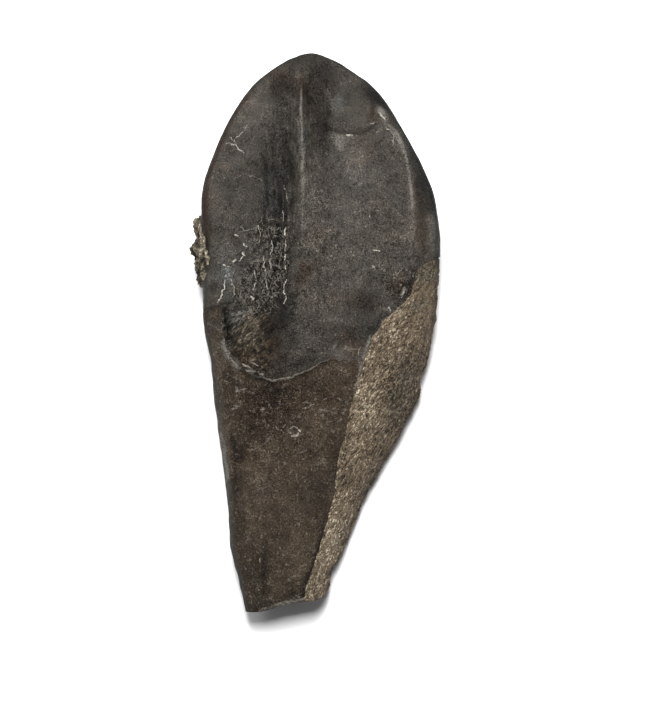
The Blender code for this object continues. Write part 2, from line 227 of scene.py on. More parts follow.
# Stains, and painted shade and sheen, as across, along, half width, half length, strength and, where they
# lean, by how many degrees to the right. Here the strength is in stops lighter or, where negative, darker.
# The painted shade lies in the grooves (along with their stain), past the right rim and beside the crumb; a
# painted sheen lies on the shoulder's left flank and the left margin, and a painted highlight along the
# root's left side
TONES = [
    # Tip and shoulder
    (0.8, 59.2, 1.4, 0.5, 0.4), (-3.6, 58.6, 1.2, 0.9, 0.3), (-3.7, 58.5, 0.9, 0.8, 0.4),
    (-0.3, 58.4, 4.1, 2.4, -0.75), (-1.8, 56.6, 0.5, 1.0, 0.5), (-3.3, 56.2, 1.0, 1.5, -0.6, 10),
    (4.0, 55.8, 2.4, 1.1, -0.5), (7.1, 55.4, 0.9, 1.7, -1.4, -45), (-0.9, 55.1, 1.1, 1.9, -0.4),
    (6.7, 54.9, 0.9, 1.8, -0.8, -35), (-3.7, 54.7, 1.2, 2.6, -0.65), (-5.7, 54.6, 1.5, 2.4, 0.15, 20),
    (2.7, 54.6, 0.8, 1.5, 0.5, -25), (-6.7, 54.4, 1.5, 2.2, 0.3, 25), (6.1, 54.3, 0.6, 1.5, -0.6, -20),
    (7.3, 54.1, 0.7, 1.3, -0.5, -35), (0.8, 53.9, 1.0, 5.2, -1.1), (-7.2, 53.9, 1.0, 1.0, 0.35),
    (9.4, 52.1, 0.6, 1.7, -1.0, -35), (1.8, 51.4, 0.6, 0.6, -0.5), (0.8, 51.3, 0.6, 1.8, -0.9),
    (-9.1, 51.3, 1.3, 1.2, 0.4), (2.5, 51.0, 0.8, 0.5, 0.2), (3.3, 50.7, 1.0, 0.8, 0.55),
    (1.4, 50.2, 0.9, 1.6, -0.4), (9.2, 50.0, 0.8, 0.8, 0.4),
    # Crown
    (4.0, 49.1, 2.4, 2.4, 0.6), (-5.2, 49.1, 1.2, 1.8, -0.45), (-3.1, 48.9, 0.8, 3.6, -0.6),
    (-1.3, 48.7, 0.5, 6.5, 0.25), (11.0, 48.6, 0.8, 3.0, -0.4, -24), (-3.3, 48.1, 1.0, 4.7, -1.2),
    (-0.5, 47.9, 0.5, 2.0, 0.4), (-7.6, 46.5, 1.7, 2.8, -0.45), (11.8, 46.0, 0.8, 2.6, -0.75, -15),
    (-11.3, 45.0, 0.7, 3.0, 0.3), (-4.8, 44.9, 0.4, 0.5, 0.4), (-5.2, 44.5, 1.9, 1.8, -0.75),
    (-4.1, 43.8, 0.9, 3.4, -1.0), (12.9, 43.5, 0.4, 2.2, -0.5), (-0.3, 42.8, 0.9, 5.4, 0.3),
    (2.5, 41.8, 2.8, 4.2, 0.3), (10.4, 41.7, 0.4, 3.2, 0.3), (-8.0, 41.7, 1.3, 2.2, -0.35),
    (12.4, 41.4, 0.8, 2.6, 0.75), (10.1, 40.9, 1.1, 2.4, 0.55), (-3.7, 40.5, 1.1, 2.2, -0.6),
    (-11.5, 40.2, 0.5, 2.8, -0.9), (7.5, 40.1, 1.5, 6.5, -0.05), (-3.9, 39.5, 1.3, 1.6, -0.45),
    (7.5, 39.0, 4.0, 4.0, 0.12), (-1.8, 38.6, 0.6, 2.2, -0.5), (-3.7, 37.7, 1.2, 5.0, -1.1),
    (-9.1, 36.8, 0.9, 1.9, 0.85), (-12.0, 36.6, 0.4, 1.7, -1.0), (-3.7, 36.0, 1.0, 0.9, -0.8),
    (-4.4, 36.0, 0.7, 0.8, -0.8), (-1.1, 36.0, 1.0, 0.8, 0.45), (-9.5, 36.0, 0.6, 0.8, 0.4),
    (9.2, 35.0, 1.8, 0.8, -0.25, -45), (9.7, 34.7, 0.5, 1.5, -0.3, -30), (-6.3, 34.0, 1.2, 0.9, -0.45),
    (-4.2, 34.0, 2.0, 2.4, -0.2),
    # The crown's base
    (-2.6, 33.3, 1.0, 0.8, -0.55), (5.5, 33.0, 1.5, 2.8, -0.8, 25), (-4.0, 33.0, 1.8, 4.4, -0.5),
    (-8.1, 31.8, 1.0, 1.0, 0.5), (-5.0, 31.7, 0.9, 2.6, -0.9), (-3.3, 31.2, 1.5, 3.2, -1.1),
    (-10.8, 31.0, 0.9, 1.7, -0.2), (5.1, 30.7, 1.1, 0.8, -0.7), (-10.1, 30.2, 0.35, 0.4, 0.7),
    (3.6, 29.9, 2.4, 0.9, -0.6), (-9.0, 29.9, 0.5, 2.2, -0.6), (-4.4, 29.4, 0.6, 1.0, -0.5),
    (-10.2, 28.6, 0.8, 1.6, -0.45), (4.2, 28.3, 2.0, 1.2, 0.1), (5.4, 28.2, 0.8, 0.9, 0.4, 20),
    (0.2, 28.2, 1.3, 0.7, -0.65), (3.4, 28.2, 0.7, 0.6, 0.6), (-6.9, 28.0, 1.3, 0.9, -0.5),
    (2.6, 27.9, 2.2, 0.6, 0.1, -10), (-10.4, 27.8, 0.9, 1.2, 0.4), (-1.1, 27.3, 2.0, 1.0, -0.2),
    (0.8, 27.1, 1.7, 0.5, -0.5, -40), (-1.8, 26.9, 0.8, 0.6, -0.7), (-8.2, 26.9, 0.6, 0.6, 0.6),
    (-1.6, 26.5, 2.4, 0.9, -0.6, -10), (3.6, 26.4, 1.4, 1.2, 0.1), (-10.8, 26.0, 0.5, 3.0, 0.4),
    (-9.1, 25.0, 1.0, 2.4, -0.3), (-10.9, 24.8, 0.4, 1.9, -0.9),
    # Root
    (-5.0, 23.7, 3.2, 3.0, -1.0), (-4.6, 23.7, 1.2, 2.6, -0.45), (-8.5, 22.2, 1.0, 1.6, 0.65),
    (-4.5, 20.8, 2.6, 1.4, -0.3), (-0.3, 20.1, 1.1, 1.1, 0.3), (0.8, 19.6, 0.8, 1.6, 0.45),
    (-5.9, 19.0, 1.0, 1.5, -0.45), (-8.0, 17.9, 1.3, 2.4, -0.5), (-8.0, 17.1, 0.7, 0.7, -0.6),
    (2.1, 16.9, 0.6, 3.7, -0.5, -8), (-8.1, 16.8, 0.8, 0.8, -0.5), (-9.5, 15.7, 0.5, 2.6, 0.6),
    (-9.3, 15.3, 0.4, 3.2, 0.4), (-6.3, 15.0, 1.9, 3.4, 0.45), (2.0, 14.5, 0.4, 2.0, -0.4),
    (-0.4, 14.0, 1.3, 3.0, -0.4), (-8.9, 14.0, 0.3, 2.5, -0.8, -8), (0.8, 12.1, 0.5, 3.2, -0.3, -8),
    (-8.2, 9.9, 0.6, 6.5, -0.6), (0.7, 8.8, 0.5, 1.2, -0.7), (-6.7, 8.6, 0.9, 2.0, -0.35),
    (-1.6, 5.6, 1.9, 2.6, 0.4), (-5.3, 4.0, 0.28, 3.2, -0.5), (-8.2, 3.7, 0.5, 1.2, -0.5),
    (-6.3, 3.4, 1.3, 3.7, -0.9), (-0.6, 3.0, 0.5, 1.4, -0.7), (-1.6, 0.9, 2.8, 0.5, -1.4, -6),
]
# The same with shares of the warm stain or, where negative, of the blue-grey, which is a cool stain and, on
# the shoulder, past the right rim and on the left margin, a painted sheen
WARMTHS = [
    # Tip and shoulder
    (-0.5, 57.5, 5.0, 3.0, 0.35), (-1.3, 56.6, 0.4, 1.4, 0.5), (-3.6, 56.0, 1.4, 1.4, 0.5, 30),
    (2.3, 54.6, 0.5, 1.4, -0.9, 25), (9.6, 54.0, 1.2, 4.0, -0.6, -35), (6.1, 53.2, 0.5, 1.3, 0.7, -20),
    (1.0, 52.0, 0.9, 4.5, 0.35), (5.4, 51.3, 1.2, 0.7, 0.5), (-1.1, 50.5, 0.5, 2.4, -0.7),
    # Crown
    (12.0, 47.5, 0.9, 3.2, -0.8, -20), (-5.0, 46.0, 1.4, 4.0, -0.5), (10.8, 44.8, 0.45, 1.6, 0.8),
    (3.0, 44.5, 4.0, 4.5, -0.3), (-11.2, 43.5, 0.7, 3.0, 0.35), (11.5, 42.0, 0.8, 3.0, 0.65),
    (12.8, 41.0, 0.4, 2.6, -1.0), (0.2, 40.0, 1.6, 6.0, 0.25), (-11.4, 39.6, 0.5, 3.0, 0.7),
    (-7.5, 37.5, 2.5, 3.0, -0.5), (-1.3, 37.1, 0.4, 0.5, 0.8), (-9.6, 36.4, 0.8, 2.4, -0.9),
    (-0.8, 35.7, 0.8, 1.6, 0.5), (5.4, 35.6, 0.5, 0.7, 0.5), (9.0, 34.8, 1.4, 1.2, 0.5),
    # The crown's base
    (4.5, 33.5, 2.0, 2.2, 0.3), (-8.4, 31.5, 1.4, 1.6, -0.7), (-11.0, 31.2, 1.0, 1.5, -0.5),
    (-3.8, 31.0, 0.9, 3.6, 0.4), (-4.6, 30.5, 1.0, 3.6, 0.5), (4.0, 28.5, 2.6, 1.7, 0.5, 10),
    (5.2, 28.4, 0.6, 1.2, -0.1), (-10.6, 28.3, 0.8, 2.6, 0.1), (-6.2, 28.2, 1.8, 2.6, 0.25, -20),
    (-9.0, 27.8, 0.8, 1.4, 0.5, 20), (-8.3, 26.6, 2.0, 1.2, 0.4), (4.6, 25.8, 1.0, 1.6, 0.7),
    # Root
    (-3.2, 23.0, 5.0, 2.4, 0.5), (2.0, 23.0, 3.0, 2.0, 0.4), (-6.0, 20.0, 2.5, 3.0, 0.3),
    (-7.6, 16.7, 1.0, 0.9, 0.5), (-9.6, 16.5, 0.4, 3.0, -0.8, -6), (-9.4, 15.5, 0.5, 3.5, -0.5, -5),
]
# Stops on the matrix. The darker blots at its lower right are partly painted shade where it slopes away to
# its edge
MATRIX_TONES = [
    (12.8, 37.6, 0.8, 0.6, -0.6), (12.0, 36.9, 1.4, 0.8, -0.6), (12.4, 34.7, 1.1, 1.5, -0.3),
    (12.4, 34.0, 0.8, 1.0, 0.4), (8.3, 30.8, 0.8, 0.7, 0.45), (12.7, 28.8, 0.5, 2.4, 0.4),
    (10.9, 28.0, 1.0, 1.8, -0.4), (9.7, 26.9, 0.9, 0.6, -0.5), (7.9, 26.5, 1.1, 0.8, -0.5),
    (6.2, 24.1, 0.6, 1.9, 0.25, 15), (8.5, 24.0, 1.6, 2.6, -0.35, 20), (8.7, 23.4, 1.3, 3.7, -0.8, 20),
    (10.4, 22.6, 0.8, 2.6, -0.6, 12), (7.6, 22.0, 1.2, 4.0, 0.25, 20), (6.0, 21.5, 0.7, 1.1, 0.5),
    (4.7, 21.2, 0.5, 2.7, 0.3, 12), (8.6, 20.2, 0.7, 1.0, -0.45), (6.6, 17.4, 1.2, 1.3, -0.5),
    (3.6, 14.1, 1.2, 0.8, -0.6), (3.8, 8.6, 0.7, 1.6, 0.4), (1.7, 7.8, 0.9, 4.3, 0.5, 12),
    (2.2, 6.5, 2.0, 6.0, 0.25, 12),
]
# Where the root and the crown's base carry pale flecks
FLECKED = [
    (8.6, 33.8, 1.0, 1.4, 0.6, -35), (3.2, 28.2, 2.4, 0.9, 1.0), (-8.3, 23.5, 1.7, 2.0, 1.0),
    (0.5, 23.5, 2.4, 1.3, 0.8), (-5.0, 22.3, 1.3, 1.0, 0.8), (1.8, 21.2, 1.7, 1.3, 0.8),
    (-2.2, 20.0, 1.8, 1.2, 0.9), (-3.5, 16.5, 3.5, 1.6, 0.4), (0.7, 15.9, 0.8, 0.7, 0.8),
    (-1.5, 4.0, 1.8, 1.8, 0.7),
]
# Where the enamel's pattern is stronger or, where negative, weaker
BUSY = [
    (5.0, 54.5, 3.0, 3.0, -0.2), (7.0, 39.0, 5.0, 6.0, 0.35), (0.2, 39.0, 1.6, 8.0, 0.5),
    (-6.5, 37.0, 4.0, 4.5, 0.4), (9.0, 35.0, 1.2, 2.2, 0.7, -35), (0, 30.0, 4.0, 3.5, 0.2),
    (-4.0, 22.0, 6.0, 4.0, 0.5),
]
# Where the pit's olive colour runs out over its rim and down the root's left side
OLIVE = [
    (-10.3, 28.4, 0.9, 3.0, 0.7), (-9.3, 27.4, 0.6, 1.6, 0.5, 20), (-9.8, 21.0, 0.8, 3.0, 0.5),
]
# Where the left groove and the ridge are streaked lengthwise, and where the enamel is crackled
STREAKED = [(-3.6, 42.0, 1.8, 9.0, 1.0), (-0.5, 53.0, 2.4, 5.0, 0.6)]
CRACKLED = [(-5.2, 38.0, 2.2, 4.6, 1.0, 8), (-6.6, 34.0, 2.4, 1.6, 0.8)]
# Where the matrix is smooth, and where it is greyer or, where negative, more yellow
SMOOTH_MATRIX = [(12.3, 33.0, 1.9, 4.2, 1.0)]
GREY_MATRIX = [
    (11.9, 36.5, 1.2, 1.6, 0.9), (10.5, 33.0, 2.0, 1.5, 0.4), (9.5, 24.0, 1.6, 4.0, 0.6, 20),
    (2.5, 7.0, 3.0, 7.0, -0.6, 12),
]

# Mineral lines: half their width, how pale they are, and their points (across, along)
CRACKS = [
    # Tip and shoulder
    (0.16, 0.8, (7.05, 53.63), (7.49, 52.88)), (0.1, 0.6, (6.09, 52.4), (6.3, 52.45)),
    (0.05, 0.6, (7.7, 52.13), (8.56, 51.05), (8.35, 50.19)), (0.05, 0.4, (-7.5, 51.7), (-7.15, 52.2)),
    (0.1, 0.6, (6.79, 51.53), (7, 51.59)), (0.12, 1.0, (3.5, 51.16), (3.93, 51.21)),
    (0.05, 0.5, (-8.9, 51.0), (-8.55, 50.4)),
    (0.07, 0.7, (-9.42, 50.3), (-8.99, 50.4), (-8.45, 50.08), (-7.81, 49.43)),
    (0.07, 0.6, (-8.45, 50.08), (-8.5, 50.8), (-8.13, 51.05), (-7.6, 51.5)),
    (0.05, 0.5, (-7.9, 49.6), (-7.5, 49.3)),
    # Crown
    (0.06, 0.18, (-8.56, 46.5), (-7.75, 47.0), (-6.5, 46.8), (-5.6, 46.3)),
    (0.05, 0.6, (-3.23, 45.77), (-2.85, 44.16)), (0.05, 0.6, (-3.39, 43.08), (-3.28, 42)),
    (0.06, 0.8, (-5.98, 41.57), (-5.87, 40.5), (-5.98, 39.42)),
    (0.1, 1.0, (-3.07, 41.36), (-3.18, 40.93), (-3.07, 40.39)),
    (0.05, 0.5, (-8.02, 41.36), (-7.16, 40.93), (-6.3, 41.25)),
    (0.1, 1.0, (-8.45, 40.5), (-8.24, 40.39)),
    (0.05, 1.0, (-3.18, 40.28), (-3.07, 39.42), (-3.18, 38.77)),
    (0.07, 0.9, (-4.58, 39.96), (-4.45, 39.2), (-4.79, 38.4)),
    (0.1, 1.0, (-7.49, 39.53), (-7.27, 39.31)), (0.07, 1.0, (6.3, 38.88), (6.73, 38.93), (7.05, 38.88)),
    (0.1, 1.0, (-7.7, 38.66), (-7.38, 38.34)), (0.08, 1.0, (-3.07, 38.45), (-3.18, 37.8)),
    (0.07, 0.9, (-5.4, 38.3), (-5.4, 37.1), (-5.15, 36.1)), (0.09, 0.9, (-7.6, 38.3), (-7.9, 37.8)),
    (0.06, 0.8, (-4.74, 38.0), (-4.6, 36.8)), (0.14, 1.0, (-8.67, 37.59), (-8.45, 37.8)),
    (0.09, 1.0, (-3.07, 37.37), (-3.18, 36.83)), (0.06, 0.8, (-9.85, 37.26), (-8.99, 37.16)),
    (0.12, 0.6, (6.3, 37.16), (6.41, 37.16)), (0.06, 0.7, (-6.5, 36.8), (-6.2, 35.8), (-6.5, 34.7)),
    (0.06, 0.35, (8.9, 36.3), (9.5, 37.0)), (0.05, 0.4, (10.61, 35.97), (10.72, 36.51)),
    (0.06, 0.7, (-5.1, 35.8), (-5.0, 34.7)), (0.05, 0.5, (-9.0, 35.8), (-8.6, 34.95), (-8.5, 34.1)),
    (0.07, 1.0, (-9.53, 35.76), (-9.64, 34.79), (-9.96, 34.03), (-10.29, 33.28)),
    (0.08, 1.0, (-3.07, 35.65), (-3.28, 34.68), (-3.07, 33.93), (-3.18, 33.17)),
    (0.06, 0.6, (-8.78, 35.22), (-8.45, 34.89)), (0.08, 0.6, (9.55, 34.6), (9.35, 34.0)),
    (0.16, 1.0, (-6.73, 33.93), (-6.52, 33.6)),
    # The crown's base
    (0.1, 0.6, (7.9, 32.8), (8.1, 32.5)), (0.05, 0.35, (4.6, 27.6), (4.9, 28.6)),
    (0.08, 0.5, (-6.73, 26.82), (-5.98, 26.49)), (0.1, 0.6, (-7.7, 26.71), (-6.95, 26.39)),
    (0.09, 0.6, (-7.27, 26.06), (-6.3, 25.85)), (0.08, 0.5, (-6.09, 25.85), (-5.33, 25.42)),
    # Root
    (0.08, 0.5, (-5.65, 22.08), (-5.44, 21.86)),
    (0.08, 0.3, (-1.13, 21.97), (-0.59, 22.19), (0.05, 22.51)),
    (0.08, 0.35, (-4.1, 20.1), (-3.8, 19.8)), (0.08, 0.3, (-3.4, 20.0), (-3.1, 20.2)),
    (0.08, 0.35, (-2.6, 19.8), (-2.2, 20.0), (-1.8, 19.9)), (0.14, 0.7, (-1.65, 19.75), (-1.55, 19.5)),
    (0.06, 0.3, (-2.75, 19.45), (-2.5, 19.3)),
    (0.12, 0.55, (-1.7, 19.25), (-2.05, 19.0), (-2.35, 19.05)),
    (0.08, 0.2, (-7.05, 17.45), (-5.65, 17.99), (-4.47, 18.96)),
    (0.06, 0.3, (-4.9, 17.4), (-4.8, 16.8)), (0.06, 0.22, (-2.5, 15.4), (-2.6, 14.9)),
    (0.05, 0.2, (-1.83, 14.9), (-1.78, 14.1)), (0.05, 0.2, (-1.75, 13.2), (-1.88, 11.9)),
    (0.1, 0.35, (-5.76, 5.82), (-5.76, 5.49)), (0.08, 0.3, (-6.09, 2.8), (-5.98, 2.48)),
    (0.08, 0.3, (-6.09, 1.18), (-5.98, 0.97)),
]
# Soft pale smears, written the same way. Among them are a painted sheen on the shoulder's left flank and
# painted highlights on the right rim, the pit's rim and the root's left side
PALE_SMEARS_AND_SHEENS = [
    (0.4, 0.3, (1.3, 56.1), (1.8, 54.6), (2.4, 53.4)), (0.38, 0.8, (7.0, 53.9), (7.6, 52.9)),
    (0.25, 0.6, (7.9, 52.2), (8.8, 51.2), (9.3, 49.9)),
    (0.15, 0.6, (8.7, 51.6), (9.5, 50.2), (10.0, 47.8), (10.3, 45.5), (10.5, 43.4)),
    (0.22, 0.45, (8.6, 51.2), (8.2, 50.3), (7.8, 49.4)), (0.4, 0.5, (1.9, 51.1), (3.2, 50.9)),
    (0.45, 0.55, (2.2, 50.6), (2.8, 49.9)), (0.2, 0.4, (10.3, 36.6), (9.9, 35.6)),
    (0.15, 1.3, (9.65, 34.8), (9.3, 33.9)), (0.2, 0.6, (7.5, 32.6), (8.1, 32.4)),
    (0.4, 1.3, (-9.6, 29.0), (-9.3, 27.6), (-8.4, 26.6)),
    (0.3, 0.2, (0.6, 27.3), (1.6, 27.9), (2.8, 28.3), (4.4, 28.5)),
    (0.25, 0.6, (-7.6, 26.5), (-6.6, 26.0)),
    (0.2, 0.72, (4.4, 24.2), (4.9, 26.2), (5.5, 28.2), (6.0, 29.6)),
    (0.5, 0.25, (-2.6, 19.6), (-1.8, 19.4)), (0.25, 0.9, (-10.0, 19.2), (-9.7, 17.0), (-9.35, 14.6)),
    (0.35, 0.35, (0.4, 16.0), (1.0, 16.1)),
]
# Dark lines, written the same way: cracks and staining, and painted shade under the shoulder's step, in the
# left groove, on the pit's left side and at the ledge by the matrix
STAIN_AND_SHADE_LINES = [
    (0.13, 0.9, (1.2, 51.8), (2.85, 51.45), (4.4, 51.35), (5.9, 51.8), (6.6, 52.3)),
    (0.18, 0.7, (-4.6, 50.8), (-4.3, 49.0), (-4.4, 47.4)),
    (0.16, 1.0, (-5.6, 49.2), (-5.1, 47.6), (-5.2, 46.0), (-5.0, 44.8)),
    (0.14, 0.6, (-2.5, 48.2), (-2.3, 46.0), (-2.5, 43.6)),
    (0.16, 0.8, (-3.9, 46.0), (-3.6, 44.1), (-3.8, 42.0), (-3.5, 40.2)),
    (0.15, 0.9, (-4.9, 44.2), (-5.4, 43.1), (-5.2, 41.8)),
    (0.15, 0.8, (-4.2, 39.0), (-4.0, 37.2), (-4.2, 35.6)), (0.13, 1.2, (10.8, 36.6), (10.3, 35.2)),
    (0.15, 0.8, (-5.6, 36.2), (-6.3, 35.1), (-7.4, 34.4)),
    (0.13, 1.2, (9.7, 35.3), (9.0, 34.2), (8.5, 33.6)), (0.12, 1.0, (10.1, 34.7), (9.8, 33.9)),
    (0.14, 1.1, (-11.0, 32.6), (-10.0, 33.1), (-8.9, 33.3), (-7.5, 33.9)),
    (0.14, 0.8, (7.4, 32.6), (6.7, 30.7)),
    (0.2, 0.7, (-9.8, 32.4), (-9.7, 31.2), (-9.2, 30.0), (-8.7, 28.9)),
    (0.35, 0.5, (1.4, 28.9), (3.2, 29.3), (5.0, 29.6)),
    (0.2, 0.9, (-8.9, 19.3), (-8.6, 17.6), (-8.5, 15.6), (-8.3, 13.0)),
    (0.16, 0.5, (-5.5, 7.4), (-5.3, 4.6), (-5.5, 1.6)),
]
# Pale crests, rubbed and with a painted highlight: the ridge, how far beside its line, half width, how pale,
# and where it runs along
WORN_AND_LIT_CRESTS = [
    ("main ridge's crest", 0, 0.2, 0.22, (38, 42, 56, 58)),
    ("main ridge's crest", 0, 0.14, 0.45, (51, 53, 55.5, 57)),
    ("main ridge's crest", 0.05, 0.3, 0.5, (45, 47, 51, 54)),
    ("main ridge's crest", 0.3, 0.6, 0.25, (36, 41, 46, 48)),
    ("right rim", 0, 0.24, 0.45, (36, 42, 51, 52.5)),
]


def through(points):
    """A smooth function through given points, level past both ends."""
    at, values = np.array(points, float).T
    slopes = np.gradient(values, at)

    def value(place):
        place = np.clip(place, at[0], at[-1])
        i = np.clip(np.searchsorted(at, place, side="right") - 1, 0, len(at) - 2)
        step = at[i + 1] - at[i]
        t = (place - at[i]) / step
        return (
            values[i] * (1 + 2 * t) * (1 - t) ** 2
            + slopes[i] * step * t * (1 - t) ** 2
            + values[i + 1] * t * t * (3 - 2 * t)
            - slopes[i + 1] * step * t * t * (1 - t)
        )

    return value


left_outline, right_outline = through(LEFT_EDGE), through(RIGHT_EDGE)
edge_height, inner_height, back_height = through(EDGE_HEIGHT), through(INNER_HEIGHT), through(BACK_HEIGHT)
inner_flatness = through(INNER_FLATNESS)
right_edge_drop, right_rounder = through(RIGHT_EDGE_DROP), through(RIGHT_ROUNDER)
end_rise, matrix_from, crumb_lobes = through(END_RISE), through(MATRIX_FROM), through(CRUMB_LOBES)
RIDGE_LINES = {name: through(line) for name, (line, *_) in RIDGES.items()}


def smoothstep(low, high, value):
    t = np.clip((value - low) / (high - low), 0, 1)
    return t * t * (3 - 2 * t)


def run(along, starts, full, fades, ends):
    """1 from full to fades, and 0 before starts and past ends."""
    return smoothstep(starts, full, along) * (1 - smoothstep(fades, ends, along))


def peak(distance, width):
    """A rounded ridge's profile, 1 on its crest."""
    return np.exp(-((distance / width) ** 2))


def closing(along, start, power, root):
    """1 up to start, then down to 0 at the tip as a rounded end."""
    t = np.clip((along - start) / (LENGTH - start), 0, 1)
    return (1 - t**power) ** (1 / root)


def rough(points, size, seed=0, stretch=(1, 1, 1)):
    """Soft random values between -1 and 1, in lumps about "size" across and drawn out by stretch."""
    moved = points.reshape(-1, 3) / (size * np.array(stretch)) + seed * np.array([17.3, 5.9, 11.1])
    values = np.fromiter((noise.noise(place) for place in moved.tolist()), float, len(moved))
    return values.reshape(points.shape[:-1])


def turn_about_z(angle):
    """Turns rows of points about the vertical, anticlockwise."""
    cos, sin = math.cos(angle), math.sin(angle)
    return np.array([[cos, sin, 0], [-sin, cos, 0], [0, 0, 1]])


def distance_to(line, across, along):
    """How far each place is from a line through points (across, along)."""
    nearest = np.full(across.shape, np.inf)
    for (x0, y0), (x1, y1) in zip(line, line[1:]):
        reach_x, reach_y = x1 - x0, y1 - y0
        share = ((across - x0) * reach_x + (along - y0) * reach_y) / (reach_x**2 + reach_y**2)
        share = np.clip(share, 0, 1)
        nearest = np.minimum(nearest, np.hypot(across - x0 - share * reach_x, along - y0 - share * reach_y))
    return nearest


def beyond(line, across, along):
    """The same distance, negative where a place lies nearer to the root than the line."""
    at, values = np.array(line).T
    return np.where(along > np.interp(across, at, values), 1, -1) * distance_to(line, across, along)


def dome(along, across, at, size):
    """1 at the middle of an oval and 0 from its edge outwards."""
    return np.clip(1 - ((along - at[0]) / size[0]) ** 2 - ((across - at[1]) / size[1]) ** 2, 0, 1)


def blots(table, along, across, wander):
    """The sum of a table's blots at each place, with their edges moved about by "wander"."""
    total = np.zeros_like(along)
    for x, y, wide, tall, strength, *lean in table:
        turn = math.radians(lean[0] if lean else 0)
        u, v = across - x + wander[0], along - y + wander[1]
        u, v = u * math.cos(turn) - v * math.sin(turn), u * math.sin(turn) + v * math.cos(turn)
        total += strength * peak(u, wide) * peak(v, tall)
    return total


def marks(table, across, along):
    """The sum of a table's lines at each place, each as strong on its middle as the table says."""
    total = np.zeros_like(along)
    for width, strength, *points in table:
        total += strength * peak(distance_to(points, across, along), width)
    return total


def left_edge(along):
    full = TIP_ACROSS + (left_outline(along) - TIP_ACROSS) * closing(along, CROWN_CLOSES_LEFT, *LEFT_BEND)
    return full + TIP_NARROWER * run(along, *TIP_NARROWS)


def right_edge(along):
    full = TIP_ACROSS + (right_outline(along) - TIP_ACROSS) * closing(along, CROWN_CLOSES_RIGHT, *RIGHT_BEND)
    return full - TIP_NARROWER * run(along, *TIP_NARROWS)


def pit_share(along, across, past_base, deep_to):
    """1 from the pit's steep left side to deep_to across, and down to 0 at its right side and round it."""
    right_side = -4.4 + 0.12 * (along - 30)
    fades_right = 1 - smoothstep(deep_to, right_side, across)
    fades_up = 1 - smoothstep(*PIT_FADES, along)
    return smoothstep(0.15, 0.6, past_base) * fades_right * fades_up * (across < 0)


def inner_relief(sizes, along, across):
    """Height that the ridges, grooves and hollows add to the inner side."""
    height = np.zeros_like(along)
    for name, (_, rise, width, extent) in RIDGES.items():
        height += rise * run(along, *extent) * peak(across - RIDGE_LINES[name](along), width)
    for at, size, rise in HOLLOWS.values():
        height += rise * dome(along, across, at, size)

    past_base = beyond(CROWN_BASE, across, along)
    drop = smoothstep(0, 0.5, past_base) * np.clip(1 - past_base / BASE_DROP_RUNS_OUT, 0, 1) ** 2
    height -= BASE_DROP * drop * (1 - 0.75 * smoothstep(1, 3, across))
    height += BASE_LIP * peak(past_base - 0.05, 0.22) * (0.25 + 0.75 * run(across, *BASE_LIP_ACROSS))
    height -= BASE_GROOVE * peak(past_base + 0.45, 0.35)

    height -= sizes.pit_depth / MM * pit_share(along, across, past_base, PIT_DEEP_TO)
    height += PIT_RIM_HEIGHT * peak(distance_to(PIT_RIM, across, along), 0.3)

    past_shoulder = beyond(SHOULDER_EDGE, across, along)
    step = smoothstep(-0.12, 0.12, past_shoulder) * np.clip(1 - past_shoulder / SHOULDER_STEP_RUNS_OUT, 0, 1)
    height += SHOULDER_STEP * step * run(across, *SHOULDER_ACROSS)
    return height


def form(sizes, along, angle):
    """Points of the smooth form. The angle runs round a section from its right edge over the inner side."""
    left, right = left_edge(along), right_edge(along)
    across = (left + right) / 2 + (right - left) / 2 * np.cos(angle)
    rise = np.abs(np.sin(angle))
    to_right = (1 + np.cos(angle)) / 2
    edge = edge_height(along) - right_edge_drop(along) * to_right
    ends = closing(along, CROWN_CLOSES_THROUGH, *THROUGH_BEND)
    flatness = inner_flatness(along) + right_rounder(along) * to_right**2
    over = edge + (inner_height(along) - edge) * ends * rise**flatness
    over += inner_relief(sizes, along, across) * smoothstep(*RELIEF_FADES, rise) * ends
    under = edge - (edge - back_height(along)) * ends * rise
    up = np.where(np.sin(angle) >= 0, over, under)
    forward = along + end_rise(across) * (1 - smoothstep(0, END_RISE_RUN, along))
    return np.stack([across, forward, up], axis=-1)


def seam_angles(along, shift):
    """Where matrix begins on each section, as its angle on the inner side and its angle on the back."""
    left, right = left_edge(along), right_edge(along)
    middle, half = (left + right) / 2, (right - left) / 2
    above = matrix_from(along) + shift
    below = right - (right - matrix_from(along)) * MATRIX_SHARE_BELOW + shift
    above, below = (np.arccos(np.clip((x - middle) / half, -1, 1)) for x in (above, below))
    return above, 2 * math.pi - below


def spread(first, last, count):
    """Rows of evenly spaced angles from first up to last, last left out."""
    return first + (last - first) * np.linspace(0, 1, count, endpoint=False)[:, None]


def raised(points, height):
    """A grid of points, whose rows are sections, moved outwards by a height and kept above the ground."""
    lengthwise, round_it = np.gradient(points, axis=0), np.gradient(points, axis=1)
    normals = np.cross(lengthwise, round_it)
    normals = normals / np.maximum(np.linalg.norm(normals, axis=-1, keepdims=True), 1e-9)
    points = points + normals * height[..., None]
    points[..., 2] = np.maximum(points[..., 2], 0)
    return points


def broken_end(ring):
    """Rings that close the root's broken end, rough and a little hollow."""
    centre = ring.mean(axis=0)
    rings = centre + (ring - centre) * END_RINGS[:, None, None]
    depth = END_HOLLOW * (1 - END_RINGS**2)[:, None]
    lumps = 0.35 * rough(rings, 1.3, seed=21) + 0.18 * rough(rings, 0.5, seed=22)
    rings[..., 1] += depth + lumps * (1 - END_RINGS[:, None] ** 8)
    return rings


def in_scene(name, data):
    """A new object with this data, linked to the scene."""
    made = bpy.data.objects.new(name, data)
    bpy.context.scene.collection.objects.link(made)
    return made


def store(mesh, layer, numbers):
    """Stores one number for each vertex."""
    values = np.asarray(numbers, np.float32)
    mesh.attributes.new(layer, "FLOAT", "POINT").data.foreach_set("value", values)


